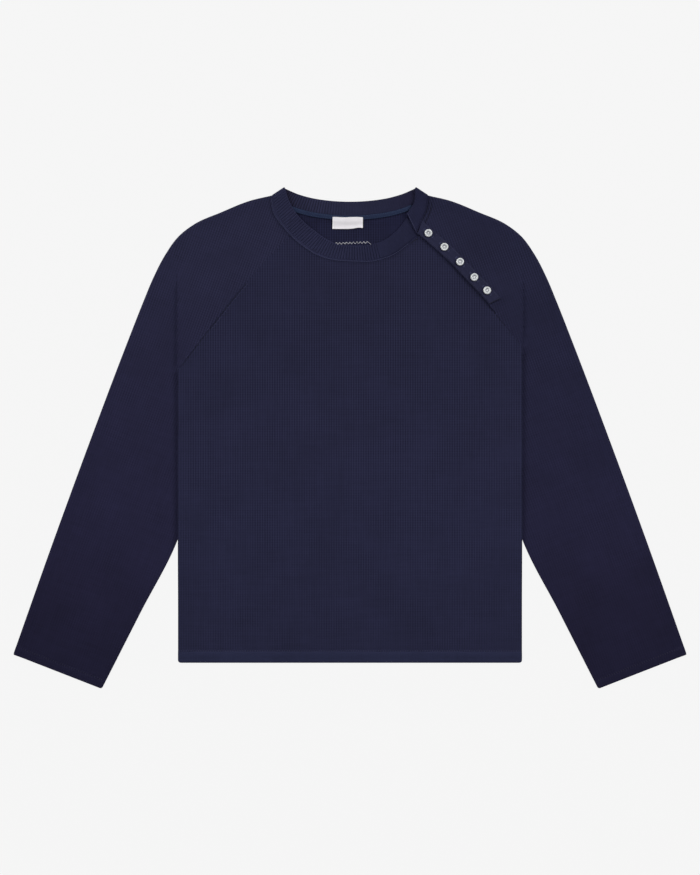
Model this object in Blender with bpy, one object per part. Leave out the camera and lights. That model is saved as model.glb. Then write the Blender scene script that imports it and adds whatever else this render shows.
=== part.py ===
"""Waffle-knit raglan thermal top with a buttoned shoulder placket, laid flat, face up.

Lengths are in millimetres and turn into metres where a mesh is made. +X is the wearer's left,
+Y points from hem to neck, and z = 0 is the surface the top lies on. Every piece of cloth is a
grid of points through the middle of its wall, with half the wall on each side. A sleeve ends on
the seam lines themselves, and the pieces sewn to it stand back from them by one gap.
"""

import math

import bmesh
import bpy
import numpy as np

MM = 0.001
SHARP_ANGLE = 50.0      # degrees; sharper edges are shaded as edges
GAP = 0.3               # between two pieces at a seam, and between two layers
WALL = 1.4              # single waffle knit
TURNED_WALL = 2.0       # hem and cuffs, turned up and stitched
HEM_DEPTH = 16.0
CUFF_DEPTH = 11.5
TURN_EDGE = 1.5         # half the width of the step at their stitching

BODY_HALF_WIDTH = 240.8
HEM_Y = -315.0
CUFF_INNER = (346.5, -349.2)
CROSSING_Y = -141.3     # where the inner edge of a sleeve comes out from under the body
SHARED_ROWS_Y = 60.0    # front and back share their rows up to here
PANEL_ROWS_Y = (-90.0, -20.0, SHARED_ROWS_Y)
UPPER_ROWS = 7
SIDE_COLUMNS = (0.0, 3.0, 13.0)  # in from the side
PANEL_COLUMNS = (150.0, 133.0, 115.0, 96.3)
NECK_COLUMNS = {
    "front": (83.6, 74.0, 62.0, 50.0, 38.0, 26.0, 13.0),
    "back": (80.0, 64.0, 48.0, 32.0, 16.0),
}
# Rows of a sleeve: -1 at the cuff, 0 at the underarm, 1 at the neck
ARM_LENGTH = 470.0
ARM_ROWS = (-0.85, -0.68, -0.5, -0.4, -0.28, -0.16, -0.08, -0.045, -0.03, -0.015, 0.0)
CAP_ROWS = (0.06, 0.13, 0.22, 0.34, 0.47, 0.6, 0.73, 0.86, 1.0)

# Cloth that lies over other cloth
TUCK_LIFT = 3.4         # the body over the tucked edge of a sleeve
FRONT_LOOSE = 0.6       # the front rises this much more than the back
TUCK_IN = 26.0          # how far in from the side the body keeps that height
TUCK_RAMP = 48.0
TUCK_FADE = 95.0        # below the crossing
LIFT_FULL_Y = CROSSING_Y - 6.0
CREASE_WIDTH = 5.0      # the soft step at each side of the body
CREASE_TOP_Y = 232.0    # where the creases on the sleeves run out
BACK_FADE = 30.0
SLEEVE_DROP = 14.0      # below the underarm, where the sleeve leaves the body's level
BOW_START = 0.45        # how far up the raglan the rows begin to bend like the neckline
FOLD_SPREAD = 1.3       # extra height between the layers along a folded edge
FOLD_REACH = 16.0
FOLD_STEPS = 5
UNDERARM_PUFF = 0.7     # loose cloth round the underarm
PUFF_INSET = 20.0       # its middle, in from the side and up from the underarm
PUFF_REACH = (60.0, 70.0)

# The folded outer edge of a sleeve, from the cuff to the neckband
OUTER_EDGE = (  # x from the middle of the body, y
    (469.6, -300.8),
    (414.5, -143.4),
    (363.7, -3.4),
    (310.7, 136.6),
    (289.8, 189.8),
    (275.8, 223.4),
    (258.4, 257.0),
    (240.0, 282.2),
    (218.4, 299.0),
    (180.6, 315.8),
    (138.2, 332.6),
    (111.3, 338.9),
)
# The underarm seam of a sleeve below its underarm point, from the cuff
SLEEVE_INNER = (  # x, y
    CUFF_INNER,
    (293.6, -245.2),
    (BODY_HALF_WIDTH, CROSSING_Y),
    (221.5, -80.0),
    (218.0, -20.0),
    (224.0, 40.0),
)
PLACKET_END = (193.8, 186.6)  # its foot, on the front raglan seam
# The side of the garment, by the wearer's side: the raglan seams from the underarm to the neck,
# and how far along the outer edge the row that starts at the underarm ends
SIDES = {
    "right": {
        "sign": -1,
        "underarm_y": 95.0,
        "outer_at_underarm": 0.588,
        "front_raglan": ((240.8, 95.0), (195.0, 155.5), (150.0, 212.5), (115.0, 251.8), (83.6, 284.2)),
        "back_raglan": ((240.8, 95.0), (205.0, 148.0), (168.0, 206.0), (131.0, 267.0), (96.3, 329.3)),
    },
    "left": {
        "sign": 1,
        "underarm_y": 127.0,
        "outer_at_underarm": 0.632,
        "front_raglan": ((240.8, 127.0), (216.6, 157.8), PLACKET_END, (163.1, 219.8), (138.0, 246.3),
                         (113.1, 268.8), (92.8, 286.2)),
        "back_raglan": ((240.8, 127.0), (205.0, 172.0), (168.0, 222.0), (131.0, 275.0), (96.3, 329.3)),
    },
}

# The neckband, a strip that starts on the wearer's left over the placket, turns over at the left
# shoulder, runs along the back neck, turns over at the right shoulder and comes round the front.
# Each row is a section: the free edge, the seam edge and the height of the middle of the wall.
BAND_WALL = 2.0
BAND_SET_BACK = 0.45     # from the seam line
RIB_DEPTH = 0.5
RIBS = 170
BAND = {
    "placket end": (  # free x, free y, seam x, seam y, z
        (79.4, 314.0, 92.8, 286.2, 5.4),
        (85.3, 322.0, 100.3, 303.0, 5.3),
        (90.4, 332.5, 106.6, 318.0, 4.9),
    ),
    "back": (
        (70.7, 340.6, 80.0, 321.4, 1.0),
        (53.9, 336.0, 60.5, 315.3, 1.0),
        (28.7, 332.2, 32.0, 310.6, 1.0),
        (0.0, 330.8, 0.0, 308.8, 1.0),
        (-28.7, 332.2, -32.0, 310.6, 1.0),
        (-53.9, 336.0, -60.5, 315.3, 1.0),
        (-70.7, 340.6, -80.0, 321.4, 1.0),
    ),
    "front": (
        (-86.1, 334.0, -106.7, 315.8, 4.2),
        (-76.3, 315.8, -96.0, 299.0, 4.2),
        (-62.6, 300.6, -82.0, 282.6, 4.0),
        (-47.5, 288.5, -67.2, 269.5, 3.6),
        (-33.7, 278.6, -47.5, 256.6, 3.3),
        (-18.0, 271.4, -26.0, 249.4, 3.1),
        (2.8, 268.9, 2.0, 246.8, 3.0),
        (30.0, 270.6, 34.7, 247.2, 3.0),
        (49.0, 277.7, 60.5, 255.4, 3.0),
        (65.1, 289.9, 81.0, 269.6, 2.9),
        (74.0, 300.5, 96.3, 282.7, 2.8),
        (79.0, 307.5, 104.5, 291.0, 2.75),
    ),
}
SHOULDER_PEAK = (92.3, 349.2)
SHOULDER_SEAM = (111.3, 338.9)
SHOULDER_FRONT_Z = 4.2
BACK_BAND_Z = 1.0
BACK_BAND_DEPTH = 40.0   # the back of the band stays within this of the shoulder seams
TURN_STEPS = 6
SHOULDER_CLEAR = 4.0     # the neck seam is followed to this far from the shoulder seam
FRONT_NECK_X = (-83.6, 96.5)  # where the front neckline meets the raglan seams
BACK_NECK_X = (-96.3, 96.3)

# The placket along the wearer's left front raglan seam
STRIP_WALL = 0.9
STRIP_EDGE = 1.0        # from the raglan seam to the free edge of the buttonhole strip
STRIP_WIDTH = 17.5
STAND_WIDTH = 13.0
STRIP_SKEW = (-7.2, 4.4)  # slant of the strip's two ends, at the neck and at the foot
STRIP_START = 1.8       # from the neck end of the placket
STAND_START = 5.8
STAND_SKEW = (0.0, -2.0)
PLACKET_LIFT = 2.4      # the sleeve over the button stand
PLACKET_LENGTH = 146.0
FOOT_FADE = 14.0        # how it comes down, past the foot and past the stand
SIDE_FADE = (4.0, 28.0)
BUTTON_FROM_SEAM = 11.1
BUTTONS_ALONG = (13.2, 42.3, 71.4, 100.9, 126.5)  # from the neck end of the placket
BUTTON_PROFILE = (  # radius, height
    (4.4, 0.0),
    (5.6, 0.4),
    (6.0, 1.2),
    (5.6, 2.1),
    (4.8, 2.5),
    (4.1, 2.3),
    (3.5, 1.7),
)
BUTTON_SIDES = 16

TAPE_WALL = 0.5
TAPE_WIDTH = 8.2
TAPE_Z = 2.55
TAPE_HALF_SPAN = 84.0
LABEL_SIZE = (44.6, 18.2)
LABEL_TOP = (-2.8, 309.6)
LABEL_WALL = 0.5
LABEL_Z = (3.35, 1.95)  # over the tape, and down on the back panel

LOOKS = {  # colour on screen (0-255), roughness
    "body cloth": ((38, 39, 60), 0.92),
    "sleeve cloth": ((37, 37, 57), 0.92),
    "rib": ((38, 38, 59), 0.9),
    "tape": ((46, 66, 96), 0.85),
    "label": ((236, 234, 232), 0.7),
    "pearl": ((232, 231, 228), 0.25),
}


def clear_scene():
    for thing in list(bpy.data.objects):
        bpy.data.objects.remove(thing, do_unlink=True)


def make_look(name):
    colour, roughness = LOOKS[name]
    linear = [((c / 255 + 0.055) / 1.055) ** 2.4 for c in colour]
    look = bpy.data.materials.new(name)
    look.use_nodes = True
    shader = look.node_tree.nodes["Principled BSDF"]
    shader.inputs["Base Color"].default_value = (*linear, 1.0)
    shader.inputs["Roughness"].default_value = roughness
    shader.inputs["Metallic"].default_value = 0.0
    look.diffuse_color = (*linear, 1.0)
    return look


def ease(start, end, value):
    """0 before start, 1 after end, with a soft rise between."""
    t = np.clip((np.asarray(value, float) - start) / (end - start), 0.0, 1.0)
    return t * t * (3.0 - 2.0 * t)


def unit(vector):
    return vector / np.linalg.norm(vector)


def curve(points, fractions):
    """Points on a smooth curve through the given ones, at fractions of its length."""
    p = np.asarray(points, float)
    chord = np.linalg.norm(np.diff(p, axis=0), axis=1)
    reach = np.concatenate(([0.0], np.cumsum(chord)))
    slope = np.gradient(p, reach, axis=0)
    at = np.clip(np.atleast_1d(fractions), 0.0, 1.0) * reach[-1]
    k = np.clip(np.searchsorted(reach, at, side="right") - 1, 0, len(chord) - 1)
    h = chord[k][:, None]
    t = (at[:, None] - reach[k][:, None]) / h
    start, end = p[k], p[k + 1]
    out = (2 * t**3 - 3 * t**2 + 1) * start + (3 * t**2 - 2 * t**3) * end
    return out + ((t**3 - 2 * t**2 + t) * slope[k] + (t**3 - t**2) * slope[k + 1]) * h


def beside(line, distance):
    """The line moved sideways, to the left of its own direction where distance is positive."""
    step = np.gradient(line, axis=0)
    step /= np.linalg.norm(step, axis=1)[:, None]
    return line + distance * np.column_stack((-step[:, 1], step[:, 0]))


def add_object(name, verts, faces, look):
    mesh = bpy.data.meshes.new(name)
    mesh.from_pydata([tuple(v) for v in np.asarray(verts) * MM], [], faces)
    shape = bmesh.new()
    shape.from_mesh(mesh)
    bmesh.ops.recalc_face_normals(shape, faces=shape.faces)
    shape.to_mesh(mesh)
    shape.free()
    mesh.shade_smooth()
    mesh.set_sharp_from_angle(angle=math.radians(SHARP_ANGLE))
    mesh.materials.append(look)
    thing = bpy.data.objects.new(name, mesh)
    bpy.context.scene.collection.objects.link(thing)
    return thing


def add_sheet(name, middle, wall, look, raised=0.0, sunk=0.0):
    """A closed sheet of cloth round a grid of points; raised and sunk lower its two faces."""
    rows, columns = middle.shape[:2]
    normal = np.cross(np.gradient(middle, axis=1), np.gradient(middle, axis=0))
    normal /= np.linalg.norm(normal, axis=2)[:, :, None]
    if normal[rows // 4, columns // 4, 2] < 0:
        normal = -normal
    half = np.broadcast_to(np.asarray(wall, float) / 2, (rows, columns))
    upper = middle + normal * (half - raised)[:, :, None]
    lower = middle - normal * (half - sunk)[:, :, None]
    verts = np.concatenate((upper.reshape(-1, 3), lower.reshape(-1, 3)))
    under = rows * columns

    def at(i, j):
        return i * columns + j

    faces = []
    for i in range(rows - 1):
        for j in range(columns - 1):
            quad = (at(i, j), at(i, j + 1), at(i + 1, j + 1), at(i + 1, j))
            faces.append(quad)
            faces.append(tuple(under + v for v in reversed(quad)))
    rim = [at(0, j) for j in range(columns)] + [at(i, columns - 1) for i in range(1, rows)]
    rim += [at(rows - 1, j) for j in range(columns - 2, -1, -1)]
    rim += [at(i, 0) for i in range(rows - 2, 0, -1)]
    for a, b in zip(rim, rim[1:] + rim[:1]):
        faces.append((b, a, under + a, under + b))
    return add_object(name, verts, faces, look)


# ---- heights of the layers ----

def side_of(x):
    return SIDES["left"] if x > 0 else SIDES["right"]


def tuck_ramp(x):
    """1 over the tucked edge of a sleeve, 0 nearer the middle and past the crease."""
    out = np.abs(x) - BODY_HALF_WIDTH
    return ease(-TUCK_IN - TUCK_RAMP, -TUCK_IN, out) * (1 - ease(0.0, CREASE_WIDTH, out))


def front_fade(underarm_y, y):
    return 1 - ease(underarm_y, CREASE_TOP_Y, y)


def back_fade(underarm_y, y):
    return 1 - ease(underarm_y, underarm_y + BACK_FADE, y)


def loosely(lift):
    """The height of a front layer over lifted cloth, which it follows less tightly."""
    return lift + FRONT_LOOSE * np.sqrt(lift / TUCK_LIFT)


def body_lift(x, y, fade):
    rise = ease(LIFT_FULL_Y - TUCK_FADE, LIFT_FULL_Y, y)
    return TUCK_LIFT * tuck_ramp(x) * rise * fade(side_of(x)["underarm_y"], y)


def sleeve_lift(x, y, fade):
    underarm_y = side_of(x)["underarm_y"]
    leave = ease(underarm_y - SLEEVE_DROP, underarm_y, y)
    return TUCK_LIFT * tuck_ramp(x) * leave * fade(underarm_y, y)


def puff(x, y):
    """Loose cloth between the layers, widest at the underarm."""
    dx = (np.abs(x) - BODY_HALF_WIDTH + PUFF_INSET) / PUFF_REACH[0]
    dy = (y - side_of(x)["underarm_y"] - PUFF_INSET) / PUFF_REACH[1]
    return UNDERARM_PUFF * np.exp(-dx * dx - dy * dy)


def placket_axes():
    """The neck end of the placket, its direction and the direction across it, off the front."""
    start = np.array(SIDES["left"]["front_raglan"][-1])
    along = np.array(PLACKET_END) - start
    along /= np.linalg.norm(along)
    return start, along, np.array((-along[1], along[0]))


def placket_rise(x, y):
    """How far the left sleeve stands up over the button stand."""
    start, along, across = placket_axes()
    place = np.array((x, y)) - start
    down = 1 - ease(PLACKET_LENGTH, PLACKET_LENGTH + FOOT_FADE, place @ along)
    past = place @ across - STAND_WIDTH
    out = 1 - ease(*SIDE_FADE, past)
    return PLACKET_LIFT * down * out


def front_z(x, y, wall=WALL):
    """The middle of the front body wall."""
    return wall + GAP + wall / 2 + loosely(body_lift(x, y, front_fade)) + puff(x, y)


def back_z(x, y, wall=WALL):
    return wall / 2 + body_lift(x, y, back_fade)


def sleeve_front_z(x, y, wall=WALL):
    rise = placket_rise(x, y) if x > 0 else 0.0
    leave = ease(side_of(x)["underarm_y"] - SLEEVE_DROP, side_of(x)["underarm_y"], y)
    return wall + GAP + wall / 2 + loosely(sleeve_lift(x, y, front_fade)) + puff(x, y) * leave + rise


def sleeve_back_z(x, y, wall=WALL):
    return wall / 2 + sleeve_lift(x, y, back_fade)


# ---- the line of the neck ----

def shoulder_turn(sign):
    """Sections round a shoulder fold of the neckband, from the front level to the back one."""
    peak, seam = np.array(SHOULDER_PEAK), np.array(SHOULDER_SEAM)
    line = unit(seam - peak)
    out = np.array((-line[1], line[0]))
    radius = (SHOULDER_FRONT_Z - BACK_BAND_Z) / 2
    level = (SHOULDER_FRONT_Z + BACK_BAND_Z) / 2
    rows = []
    for k in range(TURN_STEPS + 1):
        turn = math.pi * (0.5 - k / TURN_STEPS)
        shift = out * (radius * math.cos(turn) - radius - BAND_WALL / 2)
        free_x, free_y = peak + shift
        seam_x, seam_y = seam + shift
        rows.append((sign * free_x, free_y, sign * seam_x, seam_y, level + radius * math.sin(turn)))
    return np.array(rows)


def band_stretch(key):
    """The sections of one stretch of the neckband, close together."""
    left, right = shoulder_turn(1), shoulder_turn(-1)
    table = {
        "placket end": (BAND["placket end"], left[:1]),
        "back": (left[-1:], BAND["back"], right[-1:]),
        "front": (right[:1], BAND["front"]),
    }[key]
    return curve(np.vstack(table), np.linspace(0, 1, 300))


def band_sections():
    """All the sections of the neckband in order, evenly spaced, two to a rib."""
    rows = np.vstack((band_stretch("placket end")[:-1], shoulder_turn(1), band_stretch("back")[1:-1],
                      shoulder_turn(-1)[::-1], band_stretch("front")[1:]))
    middle = np.column_stack(((rows[:, :2] + rows[:, 2:4]) / 2, rows[:, 4]))
    reach = np.concatenate(([0.0], np.cumsum(np.linalg.norm(np.diff(middle, axis=0), axis=1))))
    even = np.linspace(0, reach[-1], 2 * RIBS + 1)
    return np.column_stack([np.interp(even, reach, rows[:, c]) for c in range(5)])


# ---- body panels ----

def top_edge(front):
    """The top edge of a body panel, from the right side to the left: raglan, neckline, raglan."""
    raglan = "front_raglan" if front else "back_raglan"
    start, end = FRONT_NECK_X if front else BACK_NECK_X
    right = curve(SIDES["right"][raglan], np.linspace(0, 1, 80)) * (-1, 1)
    left = curve(SIDES["left"][raglan], np.linspace(0, 1, 80))[::-1]
    neck = band_stretch("front" if front else "back")[:, 2:4]
    neck = neck[np.argsort(neck[:, 0])]
    neck = neck[(neck[:, 0] > start) & (neck[:, 0] < end)]
    parts = [right[right[:, 0] <= start], neck, left[left[:, 0] >= end]]
    edge = np.concatenate([beside(part, -GAP) for part in parts])
    return edge[np.argsort(edge[:, 0], kind="stable")]


def body_columns(front):
    inset = list(SIDE_COLUMNS) + [TUCK_IN + TUCK_RAMP * f for f in (0.0, 0.25, 0.5, 0.75, 1.0)]
    half = [BODY_HALF_WIDTH - GAP - d for d in inset]
    half += [*PANEL_COLUMNS, *NECK_COLUMNS["front" if front else "back"]]
    return np.array([-x for x in half] + [0.0] + half[::-1])


def body_rows(top):
    rows = [HEM_Y, HEM_Y + HEM_DEPTH - TURN_EDGE, HEM_Y + HEM_DEPTH + TURN_EDGE]
    rows += [LIFT_FULL_Y - TUCK_FADE * f for f in (1.0, 0.67, 0.33, 0.0)]
    rows += PANEL_ROWS_Y
    step = (top - SHARED_ROWS_Y) / UPPER_ROWS
    return rows + [SHARED_ROWS_Y + step * k for k in range(1, UPPER_ROWS + 1)]


def turned_wall(depth, from_edge):
    """Double cloth up to the stitching of a hem or cuff, single beyond it."""
    return TURNED_WALL + (WALL - TURNED_WALL) * ease(depth - TURN_EDGE, depth + TURN_EDGE, from_edge)


def add_body(name, front, look):
    edge = top_edge(front)
    grid, walls = [], []
    height = front_z if front else back_z
    for x in body_columns(front):
        top = np.interp(x, edge[:, 0], edge[:, 1])
        column, thick = [], []
        for y in body_rows(top):
            wall = turned_wall(HEM_DEPTH, y - HEM_Y)
            column.append((x, y, height(x, y, wall)))
            thick.append(wall)
        grid.append(column)
        walls.append(thick)
    return add_sheet(name, np.array(grid), np.array(walls), look)


# ---- sleeves ----

def sleeve_inner(side, part, raglan):
    """The edge of a sleeve that is sewn: below the underarm (part < 0) or along the body."""
    if part >= 0:
        return curve(side[raglan], part)[0]
    y = side["underarm_y"]
    leaving = ((BODY_HALF_WIDTH - 3.0, y - SLEEVE_DROP - 12.0), (BODY_HALF_WIDTH, y - SLEEVE_DROP))
    return curve((*SLEEVE_INNER, *leaving, (BODY_HALF_WIDTH, y)), 1 + part)[0]


def neck_end(side, front, end):
    """The seam line between a sleeve and the neckband, from the raglan seam to the shoulder."""
    key = "back" if not front else "placket end" if side["sign"] > 0 else "front"
    seam = band_stretch(key)[:, 2:4]
    seam = seam[seam[:, 0] * side["sign"] > 0] * (side["sign"], 1)
    raglan = np.array(side["front_raglan" if front else "back_raglan"][-1])
    clear = np.linalg.norm(seam - SHOULDER_SEAM, axis=1) > SHOULDER_CLEAR
    seam = seam[clear & (seam[:, 1] > raglan[1] + GAP)]
    return np.vstack((raglan, seam[np.argsort(seam[:, 1])], end))


def column_distances(length, crease):
    """Where the columns of a sleeve row lie, from its sewn edge to the folded one."""
    past = crease + CREASE_WIDTH
    rest = length - past
    near = [min(FOLD_REACH, 0.45 * rest), min(FOLD_REACH / 2, 0.22 * rest), 0.0]
    step = [crease + CREASE_WIDTH * f for f in (0.3, 0.65, 1.0)]
    return [0.0, crease / 2, crease, *step, past + 0.3 * rest] + [length - d for d in near]


def sleeve_layer(side, part, front, wall, outer, rim):
    """One layer of one row, from the sewn edge to where the fold begins."""
    inner = sleeve_inner(side, part, "front_raglan" if front else "back_raglan")
    length = np.linalg.norm(rim - inner)
    across = max(outer[0] - inner[0], 1.0)
    crease = np.clip((BODY_HALF_WIDTH - inner[0]) / across * length, 2.5, 0.62 * length)
    if part < 0:
        crease = 2.5 + (0.25 * length - 2.5) * ease(0.03, 0.3, -part)
    far = np.array(column_distances(length, crease))
    share = (far / length)[:, None]
    bow = ease(BOW_START, 1.0, part)
    seam = neck_end(side, front, SHOULDER_SEAM)
    seam[-1] += rim - outer
    bend = curve(seam, far / length) - (seam[0] + (seam[-1] - seam[0]) * share)
    flat = inner + (rim - inner) * share + bow * bend
    height = sleeve_front_z if front else sleeve_back_z
    spread = FOLD_SPREAD * (1 - ease(0, FOLD_REACH, length - far)) if front else 0 * far
    places = flat * (side["sign"], 1)
    return np.array([(x, y, height(x, y, wall) + more) for (x, y), more in zip(places, spread)])


def sleeve_row(side, part):
    """A row of points round a sleeve: the front layer, the fold, the back layer."""
    share = side["outer_at_underarm"]
    outer = curve(OUTER_EDGE, share * (1 + part) if part < 0 else share + (1 - share) * part)[0]
    bow = ease(BOW_START, 1.0, part)
    out = np.zeros(2)
    for front, key in ((True, "front_raglan"), (False, "back_raglan")):
        straight = unit(outer - sleeve_inner(side, part, key))
        before, last = neck_end(side, front, SHOULDER_SEAM)[-2:]
        arriving = unit(last - before)
        out += unit((1 - bow) * straight + bow * arriving)
    out = unit(out)
    from_cuff = np.linalg.norm(sleeve_inner(side, part, "front_raglan") - np.array(CUFF_INNER))
    wall = turned_wall(CUFF_DEPTH, from_cuff)
    radius = (wall + GAP + FOLD_SPREAD) / 2
    rim = outer - out * (radius + wall / 2)
    front = sleeve_layer(side, part, True, wall, outer, rim)
    back = sleeve_layer(side, part, False, wall, outer, rim)[::-1]
    centre = (front[-1] + back[0]) / 2
    tall = (front[-1, 2] - back[0, 2]) / 2
    fold = []
    for k in range(1, FOLD_STEPS):
        turn = math.pi * (0.5 - k / FOLD_STEPS)
        xy = centre[:2] + out * (side["sign"], 1) * radius * math.cos(turn)
        fold.append((*xy, centre[2] + tall * math.sin(turn)))
    return np.concatenate((front, fold, back)), wall


def add_sleeve(name, side, look):
    cuff = [-1 + d / ARM_LENGTH for d in (0.0, CUFF_DEPTH - TURN_EDGE, CUFF_DEPTH + TURN_EDGE)]
    rows = [sleeve_row(side, part) for part in (*cuff, *ARM_ROWS, *CAP_ROWS)]
    middle = np.array([row for row, _ in rows])
    wall = np.array([[w] * middle.shape[1] for _, w in rows])
    return add_sheet(name, middle, wall, look)


# ---- neckband ----

def add_neckband(look):
    rows = band_sections()
    free = rows[:, (0, 1, 4)]
    seam = rows[:, (2, 3, 4)]
    width = np.linalg.norm(seam - free, axis=1)[:, None]
    seam = seam + (free - seam) / width * BAND_SET_BACK
    middle = np.stack((free, seam), axis=1)
    trough = RIB_DEPTH * (np.arange(len(rows)) % 2)
    on_back = rows[:, 4] < (SHOULDER_FRONT_Z + BACK_BAND_Z) / 2
    on_back &= rows[:, 1] > SHOULDER_SEAM[1] - BACK_BAND_DEPTH
    # The ribs are on the faces that look up; the face that lies on the surface is plain
    raised = np.repeat(np.where(on_back, trough, 0.0)[:, None], 2, axis=1)
    sunk = np.repeat(np.where(on_back, 0.0, trough)[:, None], 2, axis=1)
    return add_sheet("neckband", middle, BAND_WALL, look, raised, sunk)


# ---- placket, tape, label, buttons ----

def placket_line(start, count):
    """The raglan seam along the placket, from near the neck to its foot, and the way across it."""
    line = curve(SIDES["left"]["front_raglan"], np.linspace(1, 0, 400))
    reach = np.concatenate(([0.0], np.cumsum(np.linalg.norm(np.diff(line, axis=0), axis=1))))
    foot = reach[np.argmin(np.linalg.norm(line - np.array(PLACKET_END), axis=1))]
    even = np.linspace(start, foot, count)
    points = np.column_stack([np.interp(even, reach, line[:, c]) for c in (0, 1)])
    step = np.gradient(points, axis=0)
    step /= np.linalg.norm(step, axis=1)[:, None]
    return even, points, step, np.column_stack((-step[:, 1], step[:, 0]))


def add_strip(name, near, far, start, skew, wall, height, look):
    """A strip along the placket between two distances from the seam, its ends cut on a slant."""
    _, points, step, across = placket_line(start, 16)
    share = np.linspace(0, 1, len(points))
    slide = skew[0] * (1 - share) ** 3 + skew[1] * share**3
    grid = []
    for part in (0.0, 0.5, 1.0):
        line = points + across * (near + (far - near) * part) + step * (slide * part)[:, None]
        grid.append([(x, y, height(x, y)) for x, y in line])
    return add_sheet(name, np.array(grid), wall, look)


def strip_z(x, y):
    return sleeve_front_z(x, y) + WALL / 2 + GAP + STRIP_WALL / 2


def add_tape(look):
    seam = band_stretch("back")[::-1, 2:4]
    seam = seam[np.abs(seam[:, 0]) <= TAPE_HALF_SPAN][::12]
    sides = [beside(seam, offset) for offset in (TAPE_WIDTH / 2, -TAPE_WIDTH / 2)]
    grid = [[(x, y, TAPE_Z) for x, y in line] for line in sides]
    return add_sheet("neck_tape", np.array(grid), TAPE_WALL, look)


def add_label(look):
    width, height = LABEL_SIZE
    grid = []
    for part in np.linspace(0, 1, 7):
        z = LABEL_Z[0] + (LABEL_Z[1] - LABEL_Z[0]) * ease(0.3, 0.75, part)
        y = LABEL_TOP[1] - height * part
        grid.append([(LABEL_TOP[0] + width * f, y, z) for f in (-0.5, 0.0, 0.5)])
    return add_sheet("label", np.array(grid), LABEL_WALL, look)


def add_button(name, centre, look):
    """A turned button, dished in the middle."""
    x, y, z = centre
    turns = [2 * math.pi * k / BUTTON_SIDES for k in range(BUTTON_SIDES)]
    verts = [(x + radius * math.cos(turn), y + radius * math.sin(turn), z + height)
             for radius, height in BUTTON_PROFILE for turn in turns]
    faces = []
    for ring in range(len(BUTTON_PROFILE) - 1):
        for k in range(BUTTON_SIDES):
            a, b = ring * BUTTON_SIDES + k, ring * BUTTON_SIDES + (k + 1) % BUTTON_SIDES
            faces.append((a, b, b + BUTTON_SIDES, a + BUTTON_SIDES))
    last = (len(BUTTON_PROFILE) - 1) * BUTTON_SIDES
    faces.append(tuple(reversed(range(BUTTON_SIDES))))
    faces.append(tuple(range(last, last + BUTTON_SIDES)))
    return add_object(name, verts, faces, look)


def add_buttons(look):
    reach, points, _, across = placket_line(0.0, 200)
    for number, along in enumerate(BUTTONS_ALONG, 1):
        k = int(np.argmin(np.abs(reach - along)))
        x, y = points[k] + across[k] * BUTTON_FROM_SEAM
        add_button(f"button_{number}", (x, y, strip_z(x, y) + STRIP_WALL / 2 + GAP), look)


def main():
    clear_scene()
    looks = {name: make_look(name) for name in LOOKS}
    add_body("front", True, looks["body cloth"])
    add_body("back", False, looks["body cloth"])
    add_sleeve("sleeve_right", SIDES["right"], looks["sleeve cloth"])
    add_sleeve("sleeve_left", SIDES["left"], looks["sleeve cloth"])
    add_neckband(looks["rib"])
    add_strip("placket_under", GAP, STAND_WIDTH, STAND_START, STAND_SKEW, WALL, front_z,
              looks["sleeve cloth"])
    add_strip("placket_top", STRIP_EDGE, STRIP_EDGE + STRIP_WIDTH, STRIP_START, STRIP_SKEW, STRIP_WALL,
              strip_z, looks["sleeve cloth"])
    add_tape(looks["tape"])
    add_label(looks["label"])
    add_buttons(looks["pearl"])


main()
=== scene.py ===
import math

import bpy
import numpy as np
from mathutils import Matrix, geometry


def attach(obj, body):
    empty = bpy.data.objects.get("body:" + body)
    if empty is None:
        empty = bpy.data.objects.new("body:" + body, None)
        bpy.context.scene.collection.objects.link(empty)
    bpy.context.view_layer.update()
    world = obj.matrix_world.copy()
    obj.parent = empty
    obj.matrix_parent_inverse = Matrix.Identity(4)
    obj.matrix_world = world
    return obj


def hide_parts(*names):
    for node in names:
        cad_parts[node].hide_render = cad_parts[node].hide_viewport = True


# Lengths are in millimetres until a mesh is made. x runs to the wearer's left, y from hem to neck,
# and z = 0 is the surface that the top lies on.

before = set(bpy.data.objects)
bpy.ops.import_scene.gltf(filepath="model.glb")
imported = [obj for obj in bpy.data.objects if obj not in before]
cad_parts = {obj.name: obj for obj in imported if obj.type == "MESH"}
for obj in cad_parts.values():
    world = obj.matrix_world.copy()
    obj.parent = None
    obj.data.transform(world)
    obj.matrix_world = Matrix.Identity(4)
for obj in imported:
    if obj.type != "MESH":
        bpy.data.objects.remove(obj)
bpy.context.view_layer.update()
mm = 0.001


def ease(start, end, value):  # 0 before start, 1 after end, soft in between
    t = np.clip((np.asarray(value, float) - start) / (end - start), 0.0, 1.0)
    return t * t * (3.0 - 2.0 * t)


def bell(value, width):  # 1 at 0, gone a little past width
    return np.exp(-(np.asarray(value, float) / width) ** 2)


def curveThrough(points, fractions):  # a smooth curve, read at fractions of its length
    p = np.asarray(points, float)
    chord = np.linalg.norm(np.diff(p, axis=0), axis=1)
    reach = np.concatenate(([0.0], np.cumsum(chord)))
    slope = np.gradient(p, reach, axis=0)
    at = np.clip(np.atleast_1d(fractions), 0.0, 1.0) * reach[-1]
    k = np.clip(np.searchsorted(reach, at, side="right") - 1, 0, len(chord) - 1)
    h = chord[k][:, None]
    t = (at[:, None] - reach[k][:, None]) / h
    out = (2 * t**3 - 3 * t**2 + 1) * p[k] + (3 * t**2 - 2 * t**3) * p[k + 1]
    return out + ((t**3 - 2 * t**2 + t) * slope[k] + (t**3 - t**2) * slope[k + 1]) * h


def lineLength(line):
    return np.concatenate(([0.0], np.cumsum(np.linalg.norm(np.diff(line, axis=0), axis=1))))


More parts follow.
